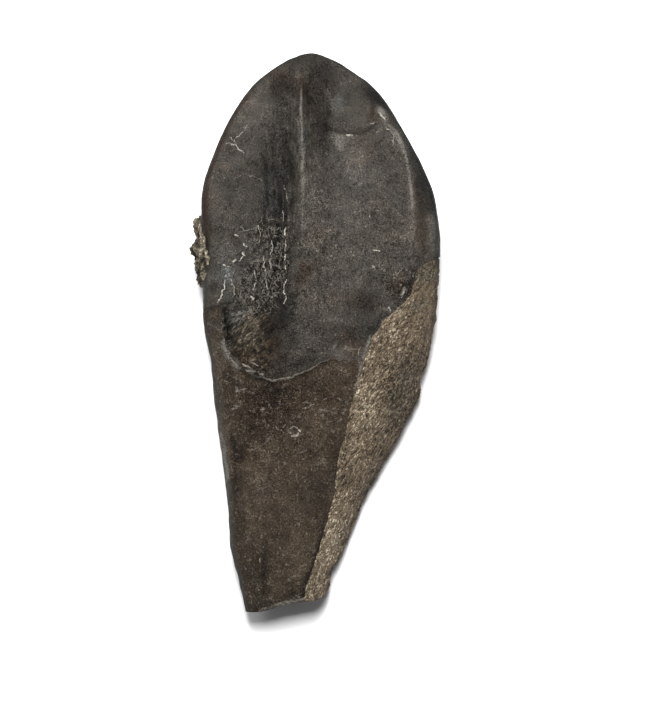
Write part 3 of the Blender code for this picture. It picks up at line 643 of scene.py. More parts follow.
def skin(name, points, layers):
    """A closed piece over a grid of sections, with one number from each layer stored at each point.

    A flat wall joins each section's last point to its first. Rings close the first section, and both ends
    run to a point.
    """
    wall = points[:, -1:] + (points[:, :1] - points[:, -1:]) * WALL_SHARES
    points = np.concatenate([points, wall], axis=1)
    ends = broken_end(points[0])
    rings = np.concatenate([ends, points])
    rows, columns = rings.shape[:2]
    start, tip = rings[0].mean(axis=0), rings[-1].mean(axis=0)
    verts = (np.concatenate([rings.reshape(-1, 3), [start, tip]]) - [0, LENGTH / 2, 0]) * MM
    row, column = np.meshgrid(np.arange(rows - 1), np.arange(columns), indexing="ij")
    here, beside = row * columns + column, row * columns + (column + 1) % columns
    corners = (here, beside, beside + columns, here + columns)
    faces = np.stack(corners, axis=-1).reshape(-1, 4).tolist()
    last = (rows - 1) * columns
    for j in range(columns):
        k = (j + 1) % columns
        faces += [(len(verts) - 2, k, j), (len(verts) - 1, last + j, last + k)]
    mesh = bpy.data.meshes.new(name)
    mesh.from_pydata(verts, [], faces)
    for layer, values in layers.items():
        values = np.concatenate([values, np.repeat(values[:, -1:], len(WALL_SHARES), axis=1)], axis=1)
        grid = np.concatenate([np.repeat(values[:1], len(ends), axis=0), values])
        store(mesh, layer, np.concatenate([grid.ravel(), [values[0].mean(), values[-1].mean()]]))
    return in_scene(name, mesh)


def closed_mesh(piece):
    """Merges what lies on one place, turns the faces outwards and shades them smooth."""
    bm = bmesh.new()
    bm.from_mesh(piece.data)
    bmesh.ops.remove_doubles(bm, verts=bm.verts, dist=0.002 * MM)
    bmesh.ops.dissolve_degenerate(bm, edges=bm.edges, dist=0.001 * MM)
    bmesh.ops.recalc_face_normals(bm, faces=bm.faces)
    bm.to_mesh(piece.data)
    bm.free()
    piece.data.shade_smooth()


def add_node(tree, kind, settings=None, sockets=None):
    """A new node, with its settings made first and then its sockets filled with values or links."""
    made = tree.nodes.new(kind)
    for setting, value in (settings or {}).items():
        setattr(made, setting, value)
    for name, value in (sockets or {}).items():
        if isinstance(value, Wire):
            value = value.socket
        if isinstance(value, bpy.types.NodeSocket):
            tree.links.new(value, made.inputs[name])
        else:
            made.inputs[name].default_value = value
    return made


class Wire:
    """A value that changes over a surface. Sums written with it add Math nodes."""

    def __init__(self, finish, socket):
        self.finish = finish
        self.socket = socket

    def maths(self, operation, *values):
        return self.finish.wire("ShaderNodeMath", {"operation": operation}, dict(enumerate(values)))

    def __add__(self, other):
        return self.maths("ADD", self, other)

    def __sub__(self, other):
        return self.maths("SUBTRACT", self, other)

    def __rsub__(self, other):
        return self.maths("SUBTRACT", other, self)

    def __mul__(self, other):
        return self.maths("MULTIPLY", self, other)

    def __abs__(self):
        return self.maths("ABSOLUTE", self)

    __radd__ = __add__
    __rmul__ = __mul__

    def ramp(self, low, high):
        """0 below low and 1 above high, or the other way round where low is above high."""
        sockets = {"Value": self, "From Min": low, "From Max": high}
        return self.finish.wire("ShaderNodeMapRange", {"interpolation_type": "SMOOTHSTEP"}, sockets, "Result")


class Finish:
    """One material, and the nodes that its colours, gloss and relief are worked out with."""

    def __init__(self, name):
        self.material = bpy.data.materials.new(name)
        self.material.use_nodes = True
        self.tree = self.material.node_tree
        self.tree.nodes.clear()
        self.place = self.scaled(self.wire("ShaderNodeTexCoord", output="Object"), 1 / MM)

    def wire(self, kind, settings=None, sockets=None, output=0):
        """One output of a new node."""
        return Wire(self, add_node(self.tree, kind, settings, sockets).outputs[output])

    def vector(self, operation, *values):
        output = "Value" if operation in ("DOT_PRODUCT", "DISTANCE") else "Vector"
        return self.wire("ShaderNodeVectorMath", {"operation": operation}, dict(enumerate(values)), output)

    def scaled(self, vector, factor):
        return self.wire("ShaderNodeVectorMath", {"operation": "SCALE"}, {0: vector, "Scale": factor})

    def painted(self, *layers):
        """The numbers that these layers store on the surface."""
        return [self.wire("ShaderNodeAttribute", {"attribute_name": layer}, output="Fac") for layer in layers]

    def moved(self, by, place=None):
        """The same pattern read somewhere else, so that it doesn't coincide with another."""
        return self.vector("ADD", place or self.place, by)

    def drawn_out(self, stretch, place=None):
        return self.vector("DIVIDE", place or self.place, stretch)

    def turned(self, lean, place):
        """Places turned so that what is drawn out along Y leans to the right by that angle."""
        settings = {"rotation_type": "Z_AXIS"}
        return self.wire("ShaderNodeVectorRotate", settings, {"Vector": place, "Angle": lean})

    def cloud(self, size, detail=2.0, place=None, roughness=0.5, output=0):
        """Noise around 0.5 with lumps about "size" across."""
        sockets = {"Vector": place or self.place, "Scale": 1 / size, "Detail": detail, "Roughness": roughness}
        return self.wire("ShaderNodeTexNoise", {}, sockets, output)

    def jitter(self, size, amount):
        """The surface's places, each moved by up to "amount" with noise of that size."""
        centred = self.vector("SUBTRACT", self.cloud(size, output="Color"), (0.5, 0.5, 0.5))
        return self.vector("ADD", self.place, self.scaled(centred, 2 * amount))

    def cell_edges(self, size, place):
        """Distance from the nearest edge between cells of that size, as a share of the size."""
        settings, sockets = {"feature": "DISTANCE_TO_EDGE"}, {"Vector": place, "Scale": 1 / size}
        return self.wire("ShaderNodeTexVoronoi", settings, sockets, "Distance")

    def lines(self, size, width, place):
        """Thin wandering lines, 1 along their middles, that keep about "size" apart."""
        return abs(self.cloud(size, 2.0, place) - 0.5).ramp(width, 0.0)

    def strokes(self, place, table):
        """Each line's strength along it and 0 past its width, for a table of mineral lines."""
        flat = self.vector("MULTIPLY", place, (1, 1, 0))
        total = None
        for width, strength, *points in table:
            for (x0, y0), (x1, y1) in zip(points, points[1:]):
                reach = (x1 - x0, y1 - y0, 0)
                away = self.vector("SUBTRACT", flat, (x0, y0 - LENGTH / 2, 0))
                share = self.vector("DOT_PRODUCT", away, reach) * (1 / (reach[0] ** 2 + reach[1] ** 2))
                share = share.maths("MINIMUM", share.maths("MAXIMUM", share, 0.0), 1.0)
                off = self.vector("DISTANCE", away, self.scaled(reach, share))
                near = off.ramp(width, 0.3 * width) * strength
                total = near if total is None else total.maths("MAXIMUM", total, near)
        return total

    def mix(self, first, second, share):
        """A colour between two others."""
        first, second = (colour if isinstance(colour, Wire) else (*colour, 1) for colour in (first, second))
        return self.wire("ShaderNodeMix", {"data_type": "RGBA"}, {0: share, 6: first, 7: second}, 2)

    def toned(self, colour, stops):
        """A colour made lighter, or darker where stops are negative. Each stop doubles or halves it."""
        return self.scaled(colour, self.wire("ShaderNodeMath", {"operation": "POWER"}, {0: 2.0, 1: stops}))

    def relief(self, height, distance):
        """Normals bumped by a height between 0 and 1 that stands for that many millimetres."""
        sockets = {"Height": height, "Distance": distance * MM, "Strength": 1.0}
        return self.wire("ShaderNodeBump", {}, sockets, "Normal")

    def surface(self, colour, roughness, normal, specular):
        """Ends the material in a Principled shader."""
        sockets = {"Base Color": colour, "Roughness": roughness, "Normal": normal}
        sockets["Specular IOR Level"] = specular
        shader = self.wire("ShaderNodeBsdfPrincipled", {}, sockets)
        add_node(self.tree, "ShaderNodeOutputMaterial", {}, {"Surface": shader})
        return self.material


def colour(name, description, value):
    return FloatVectorProperty(
        name=name, description=description, subtype="COLOR", size=3, min=0, max=1, default=value
    )


def length(name, description, value):
    return FloatProperty(name=name, description=description, unit="LENGTH", precision=5, min=0, default=value)


def brightness(name, description, value, unit="NONE"):
    return FloatProperty(name=name, description=description, unit=unit, min=0, default=value)


def count(name, description, value):
    return IntProperty(name=name, description=description, min=20, max=400, default=value)


class ToothSizes(bpy.types.PropertyGroup):
    pit_depth: length("Pit depth", "Depth of the pit at the crown's lower left", 0.9 * MM)
    wrinkle_height: length("Wrinkle height", "Height of the enamel's fine wrinkles", 0.03 * MM)
    crust_height: length("Crust height", "Height of the lumps in the crackle and in the pit", 0.16 * MM)
    grain_height: length("Root grain height", "Height of the root's fine lengthwise grain", 0.05 * MM)
    rings: count("Sections", "Sections along the tooth", 315)
    columns: count("Columns", "Columns over the inner side", 240)


class ToothColours(bpy.types.PropertyGroup):
    enamel: colour("Enamel", "Grey-brown of the crown", (0.0427, 0.0376, 0.031))
    root: colour("Root", "Brown of the root", (0.0348, 0.0256, 0.017))
    fibre: colour("Pit", "Olive brown of the pit", (0.044, 0.036, 0.0256))
    warm: colour("Warm stain", "Reddish brown of the stains", (0.0272, 0.016, 0.0094))
    # Blue-grey, for a cool stain and for the painted sheen on the enamel
    cool: colour("Cool stain", "Blue-grey sheen of the stains", (0.0336, 0.0368, 0.0384))
    # Pale grey for rubbed ridges and for the painted highlights on crests and along the lip
    worn_and_lit: colour("Worn enamel", "Pale grey of worn ridges", (0.128, 0.1168, 0.1008))
    mineral: colour("Mineral", "White mineral in cracks and pits", (0.384, 0.36, 0.312))


class MatrixLook(bpy.types.PropertyGroup):
    sand: colour("Sand", "Tan of the matrix", (0.1125, 0.0840, 0.0550))
    crumb: colour("Crumb", "Greyish tan of the crumb on the crown", (0.102, 0.090, 0.066))
    shade: colour("Sand between grains", "Dark brown between the grains", (0.028, 0.02, 0.0128))
    pale: colour("Pale sand", "Palest grains", (0.224, 0.192, 0.14))
    grain_size: length("Grain size", "Width of a sand grain", 0.21 * MM)
    grain_spacing: length("Grain spacing", "Least distance between two sand grains", 0.26 * MM)
    seed: IntProperty(name="Seed", description="Another number scatters the grains another way", default=4)


class StageLook(bpy.types.PropertyGroup):
    floor: colour("Floor", "Colour of the floor", (0.9, 0.9, 0.9))
    sky: brightness("Sky", "Strength of the even light from all sides", 0.145)
    key: brightness("Key light", "Power of the lamp overhead", 3.6, "POWER")
    fill: brightness("Fill light", "Power of the lamp at the upper left", 0.8, "POWER")
    view_height: length("View height", "Height of the picture at the tooth", 75.6 * MM)


def tooth_grid(sizes):
    """Places along the tooth of its sections, and the angles of the columns round each of them."""
    to_tip = sizes.rings * 3 // 10
    shares = np.linspace(0, 1, sizes.rings - to_tip)
    quarter_turn = np.linspace(0, math.pi / 2, to_tip + 1, endpoint=False)[1:]
    along = np.concatenate([
        np.interp(shares, *np.array(SECTIONS_UP_TO_CROWN).T),
        CROWN_CLOSES_LEFT + (LENGTH - CROWN_CLOSES_LEFT) * np.sin(quarter_turn),
    ])
    line = np.stack([along * 0, along, along * 0], axis=-1)
    jagged = 0.22 * rough(line, 1.3, seed=3) + 0.14 * rough(line, 0.5, seed=5)
    shift = np.maximum(jagged * (1 + LEDGE_ROUGHER * run(along, *LEDGE)), EDGE_STAYS_PAST)
    above, below = seam_angles(along, shift)
    angles = np.concatenate([
        spread(above, math.pi, sizes.columns),
        spread(math.pi, below, sizes.columns // 5),
        below[None],
    ]).T
    return np.broadcast_to(along[:, None], angles.shape), angles


def make_tooth(sizes):
    """The crown and root, with wrinkled enamel, a crackled patch, a fibrous pit and a grained root."""
    along, angles = tooth_grid(sizes)
    points = form(sizes, along, angles)
    across = points[..., 0]
    inner = smoothstep(-0.1, 0.25, np.sin(angles))
    wander = 0.5 * rough(points, 1.2, seed=7), 0.5 * rough(points, 1.2, seed=8)
    on_inner = np.sin(angles) >= 0
    past_base = np.where(on_inner, beyond(CROWN_BASE, across, along), beyond(CROWN_BASE_BACK, across, along))
    past_base = np.clip(past_base + 0.2 * rough(points, 0.7, seed=9), -3, 3)
    enamel = smoothstep(-0.1, 0.06, past_base)
    pit = pit_share(along, across - 0.6, past_base + 0.35, PIT_COLOUR_TO) * inner
    patch = inner * smoothstep(0.2, 0.55, blots(CRACKLED, along, across, wander))

    wrinkles = rough(points, 1.0, seed=1, stretch=(1, 2, 1))
    wrinkles += 0.7 * rough(points, 0.5, seed=2, stretch=(1, 1.5, 1))
    crust = rough(points, 0.8, seed=11, stretch=(0.8, 1.3, 1))
    crust += 0.9 * rough(points, 0.4, seed=12, stretch=(0.8, 1.3, 1))
    turned = points @ turn_about_z(FIBRES_LEAN)
    fibres = rough(turned, 0.4, seed=13, stretch=(1, 4.5, 1)) + 0.5 * rough(points, 0.6, seed=17)
    grain = rough(points, 0.5, seed=14, stretch=(1, 4, 1)) + 1.8 * rough(points, 1.4, seed=15)
    height = 0.09 * rough(points, 5.0, seed=16)
    height += sizes.wrinkle_height / MM * wrinkles * enamel * (1 - pit)
    height += sizes.crust_height / MM * (crust * patch + 1.6 * fibres * pit)
    height += sizes.grain_height / MM * grain * (1 - enamel)

    def inner_blots(table):
        return inner * blots(table, along, across, wander)

    layers = {
        "past_base": past_base,
        "tone": inner_blots(TONES) + inner * shaded(along, across, past_base),
        "warmth": inner_blots(WARMTHS) + inner * reddened(along, across),
        "busy": 0.65 + np.clip(inner_blots(BUSY), -0.3, 0.8) + 0.2 * (1 - enamel),
        "flecked": np.clip(inner_blots(FLECKED), 0, 1),
        "streaks": np.clip(inner_blots(STREAKED), 0, 1),
        "pit": pit,
        "olive": np.clip(pit + 0.5 * patch + inner_blots(OLIVE), 0, 1),
        "fibres": pit * fibres,
        "patch": patch,
        "crust": patch * crust,
        "inner": inner,
        # Pale: rubbed crests and smears, and the painted highlights and sheen among them
        "wear_and_highlight": inner * worn_and_lit(along, across),
        "fades": inner * run(across, 1.2, 3.0, 20, 21),
        "lip": inner * (0.12 + 0.88 * run(across, -7.5, -4.5, 0.3, 2.2)) * run(across, -8.5, -6.5, 1.5, 3),
    }
    return skin("fossil_tooth", raised(points, height), layers)


def shaded(along, across, past_base):
    """Negative stops of painted shade by the outline and the matrix, in the pit's left side and past the rim.
    """
    from_outline = np.minimum(across - left_edge(along), right_edge(along) - across)
    from_matrix = across - matrix_from(along)
    # Painted shade where the surface turns down at the outline, in the seam and at the ledge by the matrix,
    # on the pit's steep left side and on the bevel past the right rim
    by_outline = (1 - smoothstep(0.2, 0.7, from_outline)) * (1 - run(along, 12, 14, 17, 28))
    at_outline = 1 - smoothstep(0.06, 0.22, from_outline)
    low_on_root = peak(from_matrix + 0.2, 0.25) * (1 - smoothstep(7.5, 9.5, along))
    by_ledge = peak(from_matrix + 0.5, 0.6) * run(along, 27.5, 30, 36, 38)
    in_pit = run(past_base, -0.15, 0.05, 0.5, 1.2) * (1 - smoothstep(-6.2, -5.2, across)) * (along < 33)
    past_rim = smoothstep(0.3, 0.8, across - RIDGE_LINES["right rim"](along)) * run(along, 42, 44, 54, 57)
    stops = 0.85 * by_outline + at_outline + 1.3 * low_on_root + 0.9 * by_ledge + in_pit + past_rim
    return -stops - marks(STAIN_AND_SHADE_LINES, across, along)


def reddened(along, across):
    """Share of the warm stain in the band along the crown's left edge."""
    return 0.8 * run(across - left_edge(along), -0.1, 0.1, 0.5, 0.9) * run(along, 36, 44, 54, 58)


def worn_and_lit(along, across):
    """Pale places: rubbed crests and smears, partly painted highlight and sheen, and the broken end's chips.
    """
    pale = marks(PALE_SMEARS_AND_SHEENS, across, along)
    for ridge, offset, width, paleness, extent in WORN_AND_LIT_CRESTS:
        off_crest = across - RIDGE_LINES[ridge](along) - offset
        pale += paleness * run(along, *extent) * peak(off_crest, width)
    at_end = (1 - smoothstep(0.1, 0.6, along)) * run(across, -6.2, -5.2, 0.5, 1.2)
    return pale + at_end


def tooth_finish(colours):
    look = Finish("fossil_tooth")
    past_base, tone, warmth, inner, wear_and_highlight = look.painted("past_base", "tone", "warmth", "inner", "wear_and_highlight")
    pit, fibres, olive, patch, crust = look.painted("pit", "fibres", "olive", "patch", "crust")
    busy, streaks, flecked, fades, lip = look.painted("busy", "streaks", "flecked", "fades", "lip")
    jagged = look.jitter(0.45, 0.12)

    # Enamel's pattern: pale worm lines, dark gaps and speckle, over soft mottling
    here, there = look.cloud(1.1), look.cloud(0.9, 2.0, look.moved((5, 1, 3)))
    worms = look.lines(0.42, 0.035, look.drawn_out((1, 1.6, 1), jagged)) * here.ramp(0.44, 0.60)
    gaps = look.lines(0.40, 0.045, look.drawn_out((1, 1.4, 1), look.moved((9, 4, 2), jagged)))
    gaps = gaps * there.ramp(0.42, 0.60)
    speckle = look.cloud(0.15, 1.0) - 0.5
    mottle = look.cloud(2.2, 5.0, roughness=0.62) - 0.5
    # The left groove's streaks, the pit's fibres, and the crackled patch's veins and loops
    drawn = look.cloud(0.30, 2.0, look.drawn_out((1, 5, 1), jagged)) - 0.5
    in_pit = look.cloud(0.22, 2.0, look.drawn_out((1, 5, 1), look.turned(FIBRES_LEAN, jagged))) - 0.5
    veins = look.cell_edges(0.6, look.drawn_out((1, 1.6, 1), jagged)).ramp(0.07, 0.0)
    veins = veins * look.cloud(0.5).ramp(0.44, 0.58)
    loops = look.lines(0.30, 0.045, look.drawn_out((1, 1.8, 1), look.moved((1, 6, 4), jagged)))
    loops = loops * look.cloud(0.6, 2.0, look.moved((3, 3, 8))).ramp(0.42, 0.52)
    crackle = (veins + loops) * patch
    texture = (worms * 1.9 - gaps * 0.9 + speckle * (4.6 + tone.ramp(-0.2, -1.2) * 3.0)) * busy + mottle * 2.6
    texture = texture + drawn * streaks * 7.0 + fibres * 1.4 + in_pit * pit * 8.0 + crust * 1.5
    texture = texture - gaps * (patch * 1.3 + streaks * 0.8) * 2.5 - patch * 0.55

    # Root, enamel and pit, with warm stains and a blue-grey that is partly a cool stain, partly a painted
    # sheen
    past_base = past_base + (look.cloud(0.4) - 0.5) * (fades * 2.4 + 0.4)
    enamel = past_base.ramp(-0.07, 0.05)
    root = 1 - enamel
    warmth = warmth + (look.cloud(2.8, 4.0, look.moved((2, 7, 1)), roughness=0.6) - 0.5) * 2.2
    body = look.mix(look.mix(colours.root, colours.enamel, enamel), colours.fibre, olive)
    body = look.mix(body, colours.warm, warmth.ramp(0.0, 1.0) * 0.8)
    # Blue-grey where warmth is negative: a cool stain, and in places a painted sheen
    body = look.mix(body, colours.cool, warmth.ramp(0.0, -1.0) * (enamel * 0.25 + 0.35))
    body = look.toned(body, tone + texture - 0.17)

    # Pale: crests rubbed pale and with a painted highlight, a painted highlight along the lip at the enamel's
    # broken edge with pale fraying beside it, crackle, and flakes and specks on the root
    pale_patchiness = speckle * 3.0 + drawn * streaks * 4.0 + (here - 0.5) * 2.5 + 0.8
    # Painted highlight: a thin pale line along the modelled lip at the crown's base
    edge = abs(past_base - 0.04).ramp(0.09, 0.02) * lip * 0.68
    frayed = abs(past_base - 0.1).ramp(0.45, 0.1) * here.ramp(0.42, 0.58) * (lip + 0.3) * 0.12
    flakes = look.cloud(0.38, 3.0, look.drawn_out((1.5, 1, 1), jagged)).ramp(0.54, 0.66)
    flakes = flakes * there.ramp(0.35, 0.6)
    pale = wear_and_highlight * pale_patchiness + edge + frayed + crackle * 1.3 + flakes * (flecked * 0.9 + root * 0.25)
    pale = pale + worms * (enamel * busy * 0.2 + root * 0.45) + speckle.ramp(0.06, 0.3) * root * 0.35
    body = look.mix(body, colours.worn_and_lit, pale.ramp(0.0, 1.1))
    mineral = look.strokes(look.jitter(0.5, 0.32), CRACKS) * inner * look.cloud(0.25).ramp(0.34, 0.5)
    body = look.mix(body, colours.mineral, mineral * 0.9)

    roughness = 0.72 - enamel * 0.12 + speckle * 0.3 + pit * 0.1
    height = (worms * 0.9 - gaps + speckle * 2.4) * busy + crackle * 0.6 + in_pit * pit * 3.0 + mottle * 1.2
    return look.surface(body, roughness, look.relief(height, 0.08), 0.1)


class FOSSIL_OT_tooth(bpy.types.Operator):
    """Models the crown and root as one piece, in the place of the plain tooth"""

    bl_idname = "fossil.tooth"
    bl_label = "Tooth"

    def execute(self, context):
        tooth = make_tooth(context.scene.tooth_sizes)
        closed_mesh(tooth)
        tooth.data.materials.append(tooth_finish(context.scene.tooth_colours))
        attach(tooth, "root")
        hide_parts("tooth")
        return {"FINISHED"}


def make_wedge(sizes):
    """Matrix beside the root. It follows the specimen's form, and its edges reach in under the tooth's."""
    along = np.linspace(0, MATRIX_STARTS, MATRIX_SECTIONS)
    above, below = seam_angles(along, -MATRIX_TUCK)
    angles = np.concatenate([spread(below - 2 * math.pi, above, MATRIX_COLUMNS), above[None]]).T
    along = np.broadcast_to(along[:, None], angles.shape)
    points = form(sizes, along, angles)
    across = points[..., 0]
    inner = smoothstep(-0.1, 0.25, np.sin(angles))
    starts = 1 - smoothstep(MATRIX_STARTS - 3, MATRIX_STARTS - 0.5, along)

    lumps = 0.2 * rough(points, 3.0, seed=31) + 0.14 * rough(points, 1.1, seed=32)
    streaks = rough(points @ turn_about_z(STREAKS_LEAN), 0.42, seed=33, stretch=(1, 3.2, 1))
    bulge = 0.12 * smoothstep(0.3, 0.7, np.sin(angles)) - 0.05
    from_seam = distance_to([(x, y) for y, x in MATRIX_FROM], across, along)
    under_tooth = (across < matrix_from(along)) * inner * smoothstep(0, 0.2, from_seam)
    points = raised(points, (lumps + 0.15 * streaks + bulge) * starts - MATRIX_LOWER * under_tooth)

    wander = 0.6 * rough(points, 1.2, seed=34), 0.6 * rough(points, 1.2, seed=35)
    # Painted shade: the matrix is darker along its right outline, where it turns down
    by_outline = inner * (1 - smoothstep(0.1, 0.5, right_edge(along) - across))
    tone = inner * blots(MATRIX_TONES, along, across, wander) + 0.5 * streaks - 0.15 - 0.8 * by_outline
    sandy = np.clip(1 - 1.3 * blots(SMOOTH_MATRIX, along, across, wander), 0, 1) * starts
    grey = inner * blots(GREY_MATRIX, along, across, wander)
    return skin("matrix_wedge", points, {"tone": tone, "sandy": sandy, "grey": grey})


def make_crumb():
    """A pitted clump of matrix with narrow waists that sticks to the crown's edge."""
    bm = bmesh.new()
    bmesh.ops.create_icosphere(bm, subdivisions=7, radius=1)
    tones = []
    for vert in bm.verts:
        outwards, forwards = -vert.co.x, vert.co.y
        point = Vector([u * size for u, size in zip(vert.co, CRUMB_SIZE)])
        point.x *= float(crumb_lobes(forwards))
        drawn = Vector((point.x, point.y / 1.7, point.z))
        lumps = 0.3 * noise.noise(point / 1.4 + Vector((3, 0, 7))) + 0.36 * noise.noise(drawn / 0.6)
        pits = 0.3 * noise.noise(drawn / 0.35 + Vector((0, 5, 2))) + 0.18 * noise.noise(point / 0.18)
        vert.co = (Vector(CRUMB_AT) + point + vert.co * (lumps + pits) - Vector((0, LENGTH / 2, 0))) * MM
        # Darker towards the crumb's outer side and its end towards the root, paler across its middle
        darker_out_and_down = 1.5 * smoothstep(0.5, 0.95, outwards) + 0.8 * (1 - smoothstep(-0.5, 0.1, forwards))
        tones.append(-0.4 + 4 * lumps + 9 * pits + 0.8 * peak(forwards - 0.05, 0.2) - darker_out_and_down)
    mesh = bpy.data.meshes.new("matrix_crumb_rock")
    bm.to_mesh(mesh)
    bm.free()
    for layer, numbers in (("tone", tones), ("sandy", [0.25] * len(tones)), ("grey", [1.0] * len(tones))):
        store(mesh, layer, numbers)
    return in_scene("matrix_crumb_rock", mesh)


def sand_colour(look, matrix, grey):
    """Tan, and greyer where the matrix is grey and in soft patches."""
    hues = look.cloud(1.5, 3.0, look.moved((6, 2, 1))) - 0.5
    return look.mix(matrix.sand, matrix.crumb, (grey + hues * 2.0).ramp(0.0, 1.0))


def matrix_finish(matrix):
    look = Finish("sandy_matrix")
    tone, sandy, grey = look.painted("tone", "sandy", "grey")
    jagged = look.jitter(0.4, 0.12)
    streaked = look.drawn_out((1, 3.0, 1), look.turned(STREAKS_LEAN, jagged))
    bed = look.cloud(0.24, 2.0, streaked) - 0.5
    gaps = look.lines(0.34, 0.06, look.moved((3, 8, 5), streaked))
    threads = look.lines(0.28, 0.05, look.moved((1, 2, 7), streaked)) * look.cloud(0.8).ramp(0.44, 0.56)
    speckle = look.cloud(0.15, 1.0, jagged) - 0.5
    patches = look.cloud(2.5, 3.0) - 0.5
    stops = tone + (bed * 6.4 + threads * 1.3 - gaps * 0.9) * (sandy * 0.7 + 0.3)
    stops = stops + speckle * 4.4 + patches * 1.2
    body = look.mix(matrix.shade, sand_colour(look, matrix, grey), (stops + sandy * 0.3).ramp(-1.9, 0.3))
    body = look.mix(body, matrix.pale, (stops * (sandy + grey * 0.3)).ramp(0.4, 1.6))
    body = look.toned(body, stops * 0.45)
    return look.surface(body, 0.95 - sandy * 0.1, look.relief(bed * 1.6 - gaps * 0.7 + speckle, 0.14), 0.2)


def grain_finish(matrix):
    look = Finish("sand_grains")
    tone, grey = look.painted("tone", "grey")
    body = look.mix(matrix.shade, sand_colour(look, matrix, grey), tone.ramp(-1.3, 0.3))
    body = look.mix(body, matrix.pale, tone.ramp(0.5, 1.4))
    body = look.toned(body, (look.cloud(0.15) - 0.5) * 1.8 + tone * 0.2)
    return look.surface(body, 0.8 - tone * 0.1, look.relief(look.cloud(0.1), 0.03), 0.24)


class FOSSIL_OT_matrix(bpy.types.Operator):
    """Models the matrix along the root and the crumb of it on the crown's edge"""

    bl_idname = "fossil.matrix"
    bl_label = "Matrix"

    def execute(self, context):
        finish = matrix_finish(context.scene.matrix_look)
        wedge, crumb = make_wedge(context.scene.tooth_sizes), make_crumb()
        for piece, node in ((wedge, "matrix_side"), (crumb, "matrix_crumb")):
            closed_mesh(piece)
            piece.data.materials.append(finish)
            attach(piece, "root")
            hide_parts(node)
        return {"FINISHED"}


def grain_tree():
    """Scatters long angular grains that lie on a surface along its streaks, each with a tone of its own."""
    tree = bpy.data.node_groups.new("sand_grains", "GeometryNodeTree")
    for name, kind in (
        ("Geometry", "Geometry"), ("Grain Size", "Float"), ("Grain Spacing", "Float"), ("Seed", "Int"),
        ("Finish", "Material"),
    ):
        tree.interface.new_socket(name, in_out="INPUT", socket_type="NodeSocket" + kind)
    tree.interface.new_socket("Geometry", in_out="OUTPUT", socket_type="NodeSocketGeometry")

    def node(kind, settings=None, sockets=None, output=0):
        return add_node(tree, kind, settings, sockets).outputs[output]

    def chance(low, high, seed):
        settings = {"data_type": "FLOAT_VECTOR"}
        return node("FunctionNodeRandomValue", settings, {0: low, 1: high, "Seed": seed})

    def stored(layer):
        return node("GeometryNodeInputNamedAttribute", {"data_type": "FLOAT"}, {"Name": layer}, "Attribute")

    given = add_node(tree, "NodeGroupInput").outputs
    scatter = add_node(
        tree,
        "GeometryNodeDistributePointsOnFaces",
        {"distribute_method": "POISSON"},
        {
            "Mesh": given["Geometry"], "Distance Min": given["Grain Spacing"], "Density Max": MOST_GRAINS,
            "Density Factor": stored("sandy"), "Seed": given["Seed"],
        },
    ).outputs
    side = math.sin(STREAKS_LEAN)
    lying = node(
        "FunctionNodeAlignRotationToVector", {"axis": "Y", "pivot_axis": "Z"},
        {"Rotation": scatter["Rotation"], "Vector": chance((side - 0.5, 1, 0), (side + 0.5, 1, 0), 1)},
    )
    radius = node("ShaderNodeMath", {"operation": "MULTIPLY"}, {0: given["Grain Size"], 1: 0.5})
    grain = node("GeometryNodeMeshIcoSphere", {}, {"Radius": radius, "Subdivisions": 1}, "Mesh")
    grains = node(
        "GeometryNodeInstanceOnPoints",
        {},
        {
            "Points": scatter["Points"], "Instance": grain, "Rotation": lying,
            "Scale": chance(*GRAIN_SHAPES, 2),
        },
    )
    lowest, highest = GRAIN_TONES
    own = node("FunctionNodeRandomValue", {"data_type": "FLOAT"}, {2: lowest, 3: highest, "Seed": 3}, 1)
    tone = node("ShaderNodeMath", {"operation": "ADD"}, {0: stored("tone"), 1: own})
    toned = node(
        "GeometryNodeStoreNamedAttribute",
        {"data_type": "FLOAT", "domain": "INSTANCE"},
        {"Geometry": grains, "Name": "tone", "Value": tone},
    )
    real = node("GeometryNodeRealizeInstances", {}, {"Geometry": toned})
    finished = node("GeometryNodeSetMaterial", {}, {"Geometry": real, "Material": given["Finish"]})
    add_node(tree, "NodeGroupOutput", {}, {"Geometry": finished})
    return tree


def host_surface():
    """Both pieces of matrix as one mesh, for grains to lie on."""
    bm = bmesh.new()
    for name in ("matrix_wedge", "matrix_crumb_rock"):
        bm.from_mesh(bpy.data.objects[name].data)
    mesh = bpy.data.meshes.new("grain_host")
    bm.to_mesh(mesh)
    bm.free()
    return in_scene("sand_grains", mesh)


class FOSSIL_OT_grains(bpy.types.Operator):
    """Scatters sand grains over the matrix"""

    bl_idname = "fossil.grains"
    bl_label = "Sand grains"

    def execute(self, context):
        matrix = context.scene.matrix_look
        tree = grain_tree()
        host = host_surface()
        scatter = host.modifiers.new("grains", "NODES")
        scatter.node_group = tree
        values = {
            "Grain Size": matrix.grain_size, "Grain Spacing": matrix.grain_spacing,
            "Seed": matrix.seed, "Finish": grain_finish(matrix),
        }
        for item in tree.interface.items_tree:
            if item.in_out == "INPUT" and item.name in values:
                scatter[item.identifier] = values[item.name]
        evaluated = host.evaluated_get(context.evaluated_depsgraph_get())
        grains = bpy.data.meshes.new_from_object(evaluated)
        host.modifiers.remove(scatter)
        host.data = grains
        if not grains.polygons:
            raise RuntimeError("no sand grains were made")
        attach(host, "root")
        return {"FINISHED"}


def floor_finish(stage):
    look = Finish("pale_floor")
    paper = look.cloud(40.0)
    body = look.toned(tuple(stage.floor), paper * 0.04 - 0.02)
    return look.surface(body, 0.9, look.relief(paper, 0.01), 0.1)


def lamp(name, place, sides, watts):
    """A rectangular lamp that shines at the origin."""
    light = bpy.data.lights.new(name, "AREA")
    light.shape = "RECTANGLE"
    light.size, light.size_y = sides
    light.energy = watts
    holder = in_scene(name, light)
    holder.location = place
    holder.rotation_euler = (-Vector(place)).to_track_quat("-Z", "Y").to_euler()


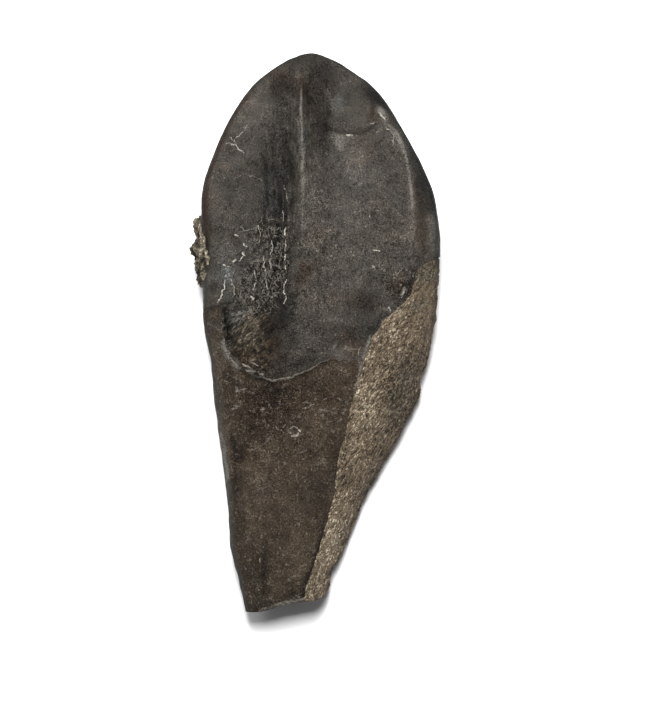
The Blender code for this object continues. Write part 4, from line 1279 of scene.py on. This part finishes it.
def camera_above(view_height):
    """A camera that looks straight down and shows this height of the picture at the tooth's inner side."""
    camera = bpy.data.cameras.new("camera")
    camera.sensor_width = 36
    camera.lens = camera.sensor_width * CAMERA_DISTANCE / view_height
    camera.clip_start, camera.clip_end = 0.01, 10
    holder = in_scene("camera", camera)
    holder.location = (*CAMERA_AT, CAMERA_DISTANCE + LEVEL_SEEN)
    return holder


class FOSSIL_OT_stage(bpy.types.Operator):
    """Sets the pale floor, soft lamps, sky and a camera that looks straight down"""

    bl_idname = "fossil.stage"
    bl_label = "Stage"

    def execute(self, context):
        stage = context.scene.stage_look
        bpy.ops.mesh.primitive_plane_add(size=FLOOR_SIZE)
        floor = context.object
        floor.name = "floor"
        floor.data.materials.append(floor_finish(stage))
        sky = bpy.data.worlds.new("soft_sky")
        sky.use_nodes = True
        background = sky.node_tree.nodes["Background"].inputs
        background["Color"].default_value = (1, 1, 1, 1)
        background["Strength"].default_value = stage.sky
        context.scene.world = sky
        lamp("key_lamp", KEY_LAMP, KEY_LAMP_SIDES, stage.key)
        lamp("fill_lamp", FILL_LAMP, FILL_LAMP_SIDES, stage.fill)
        context.scene.view_settings.view_transform = "Standard"
        context.scene.camera = camera_above(stage.view_height)
        return {"FINISHED"}


class VIEW3D_PT_fossil(bpy.types.Panel):
    """Lists the steps and their sizes and colours"""

    bl_label = "Fossil Tooth"
    bl_space_type = "VIEW_3D"
    bl_region_type = "UI"
    bl_category = "Fossil"

    def draw(self, context):
        for step in STEPS:
            self.layout.operator(step.bl_idname)
        for name, group in GROUPS.items():
            box = self.layout.box()
            for setting in group.__annotations__:
                box.prop(getattr(context.scene, name), setting)


STEPS = (FOSSIL_OT_tooth, FOSSIL_OT_matrix, FOSSIL_OT_grains, FOSSIL_OT_stage)
GROUPS = {
    "tooth_sizes": ToothSizes, "tooth_colours": ToothColours,
    "matrix_look": MatrixLook, "stage_look": StageLook,
}


def register():
    for kind in (*GROUPS.values(), *STEPS, VIEW3D_PT_fossil):
        bpy.utils.register_class(kind)
    for name, group in GROUPS.items():
        setattr(bpy.types.Scene, name, PointerProperty(type=group))


def unregister():
    for name in GROUPS:
        delattr(bpy.types.Scene, name)
    for kind in reversed((*GROUPS.values(), *STEPS, VIEW3D_PT_fossil)):
        bpy.utils.unregister_class(kind)


def main():
    register()
    bpy.ops.fossil.tooth()
    bpy.ops.fossil.matrix()
    bpy.ops.fossil.grains()
    bpy.ops.fossil.stage()


if __name__ == "__main__":
    main()
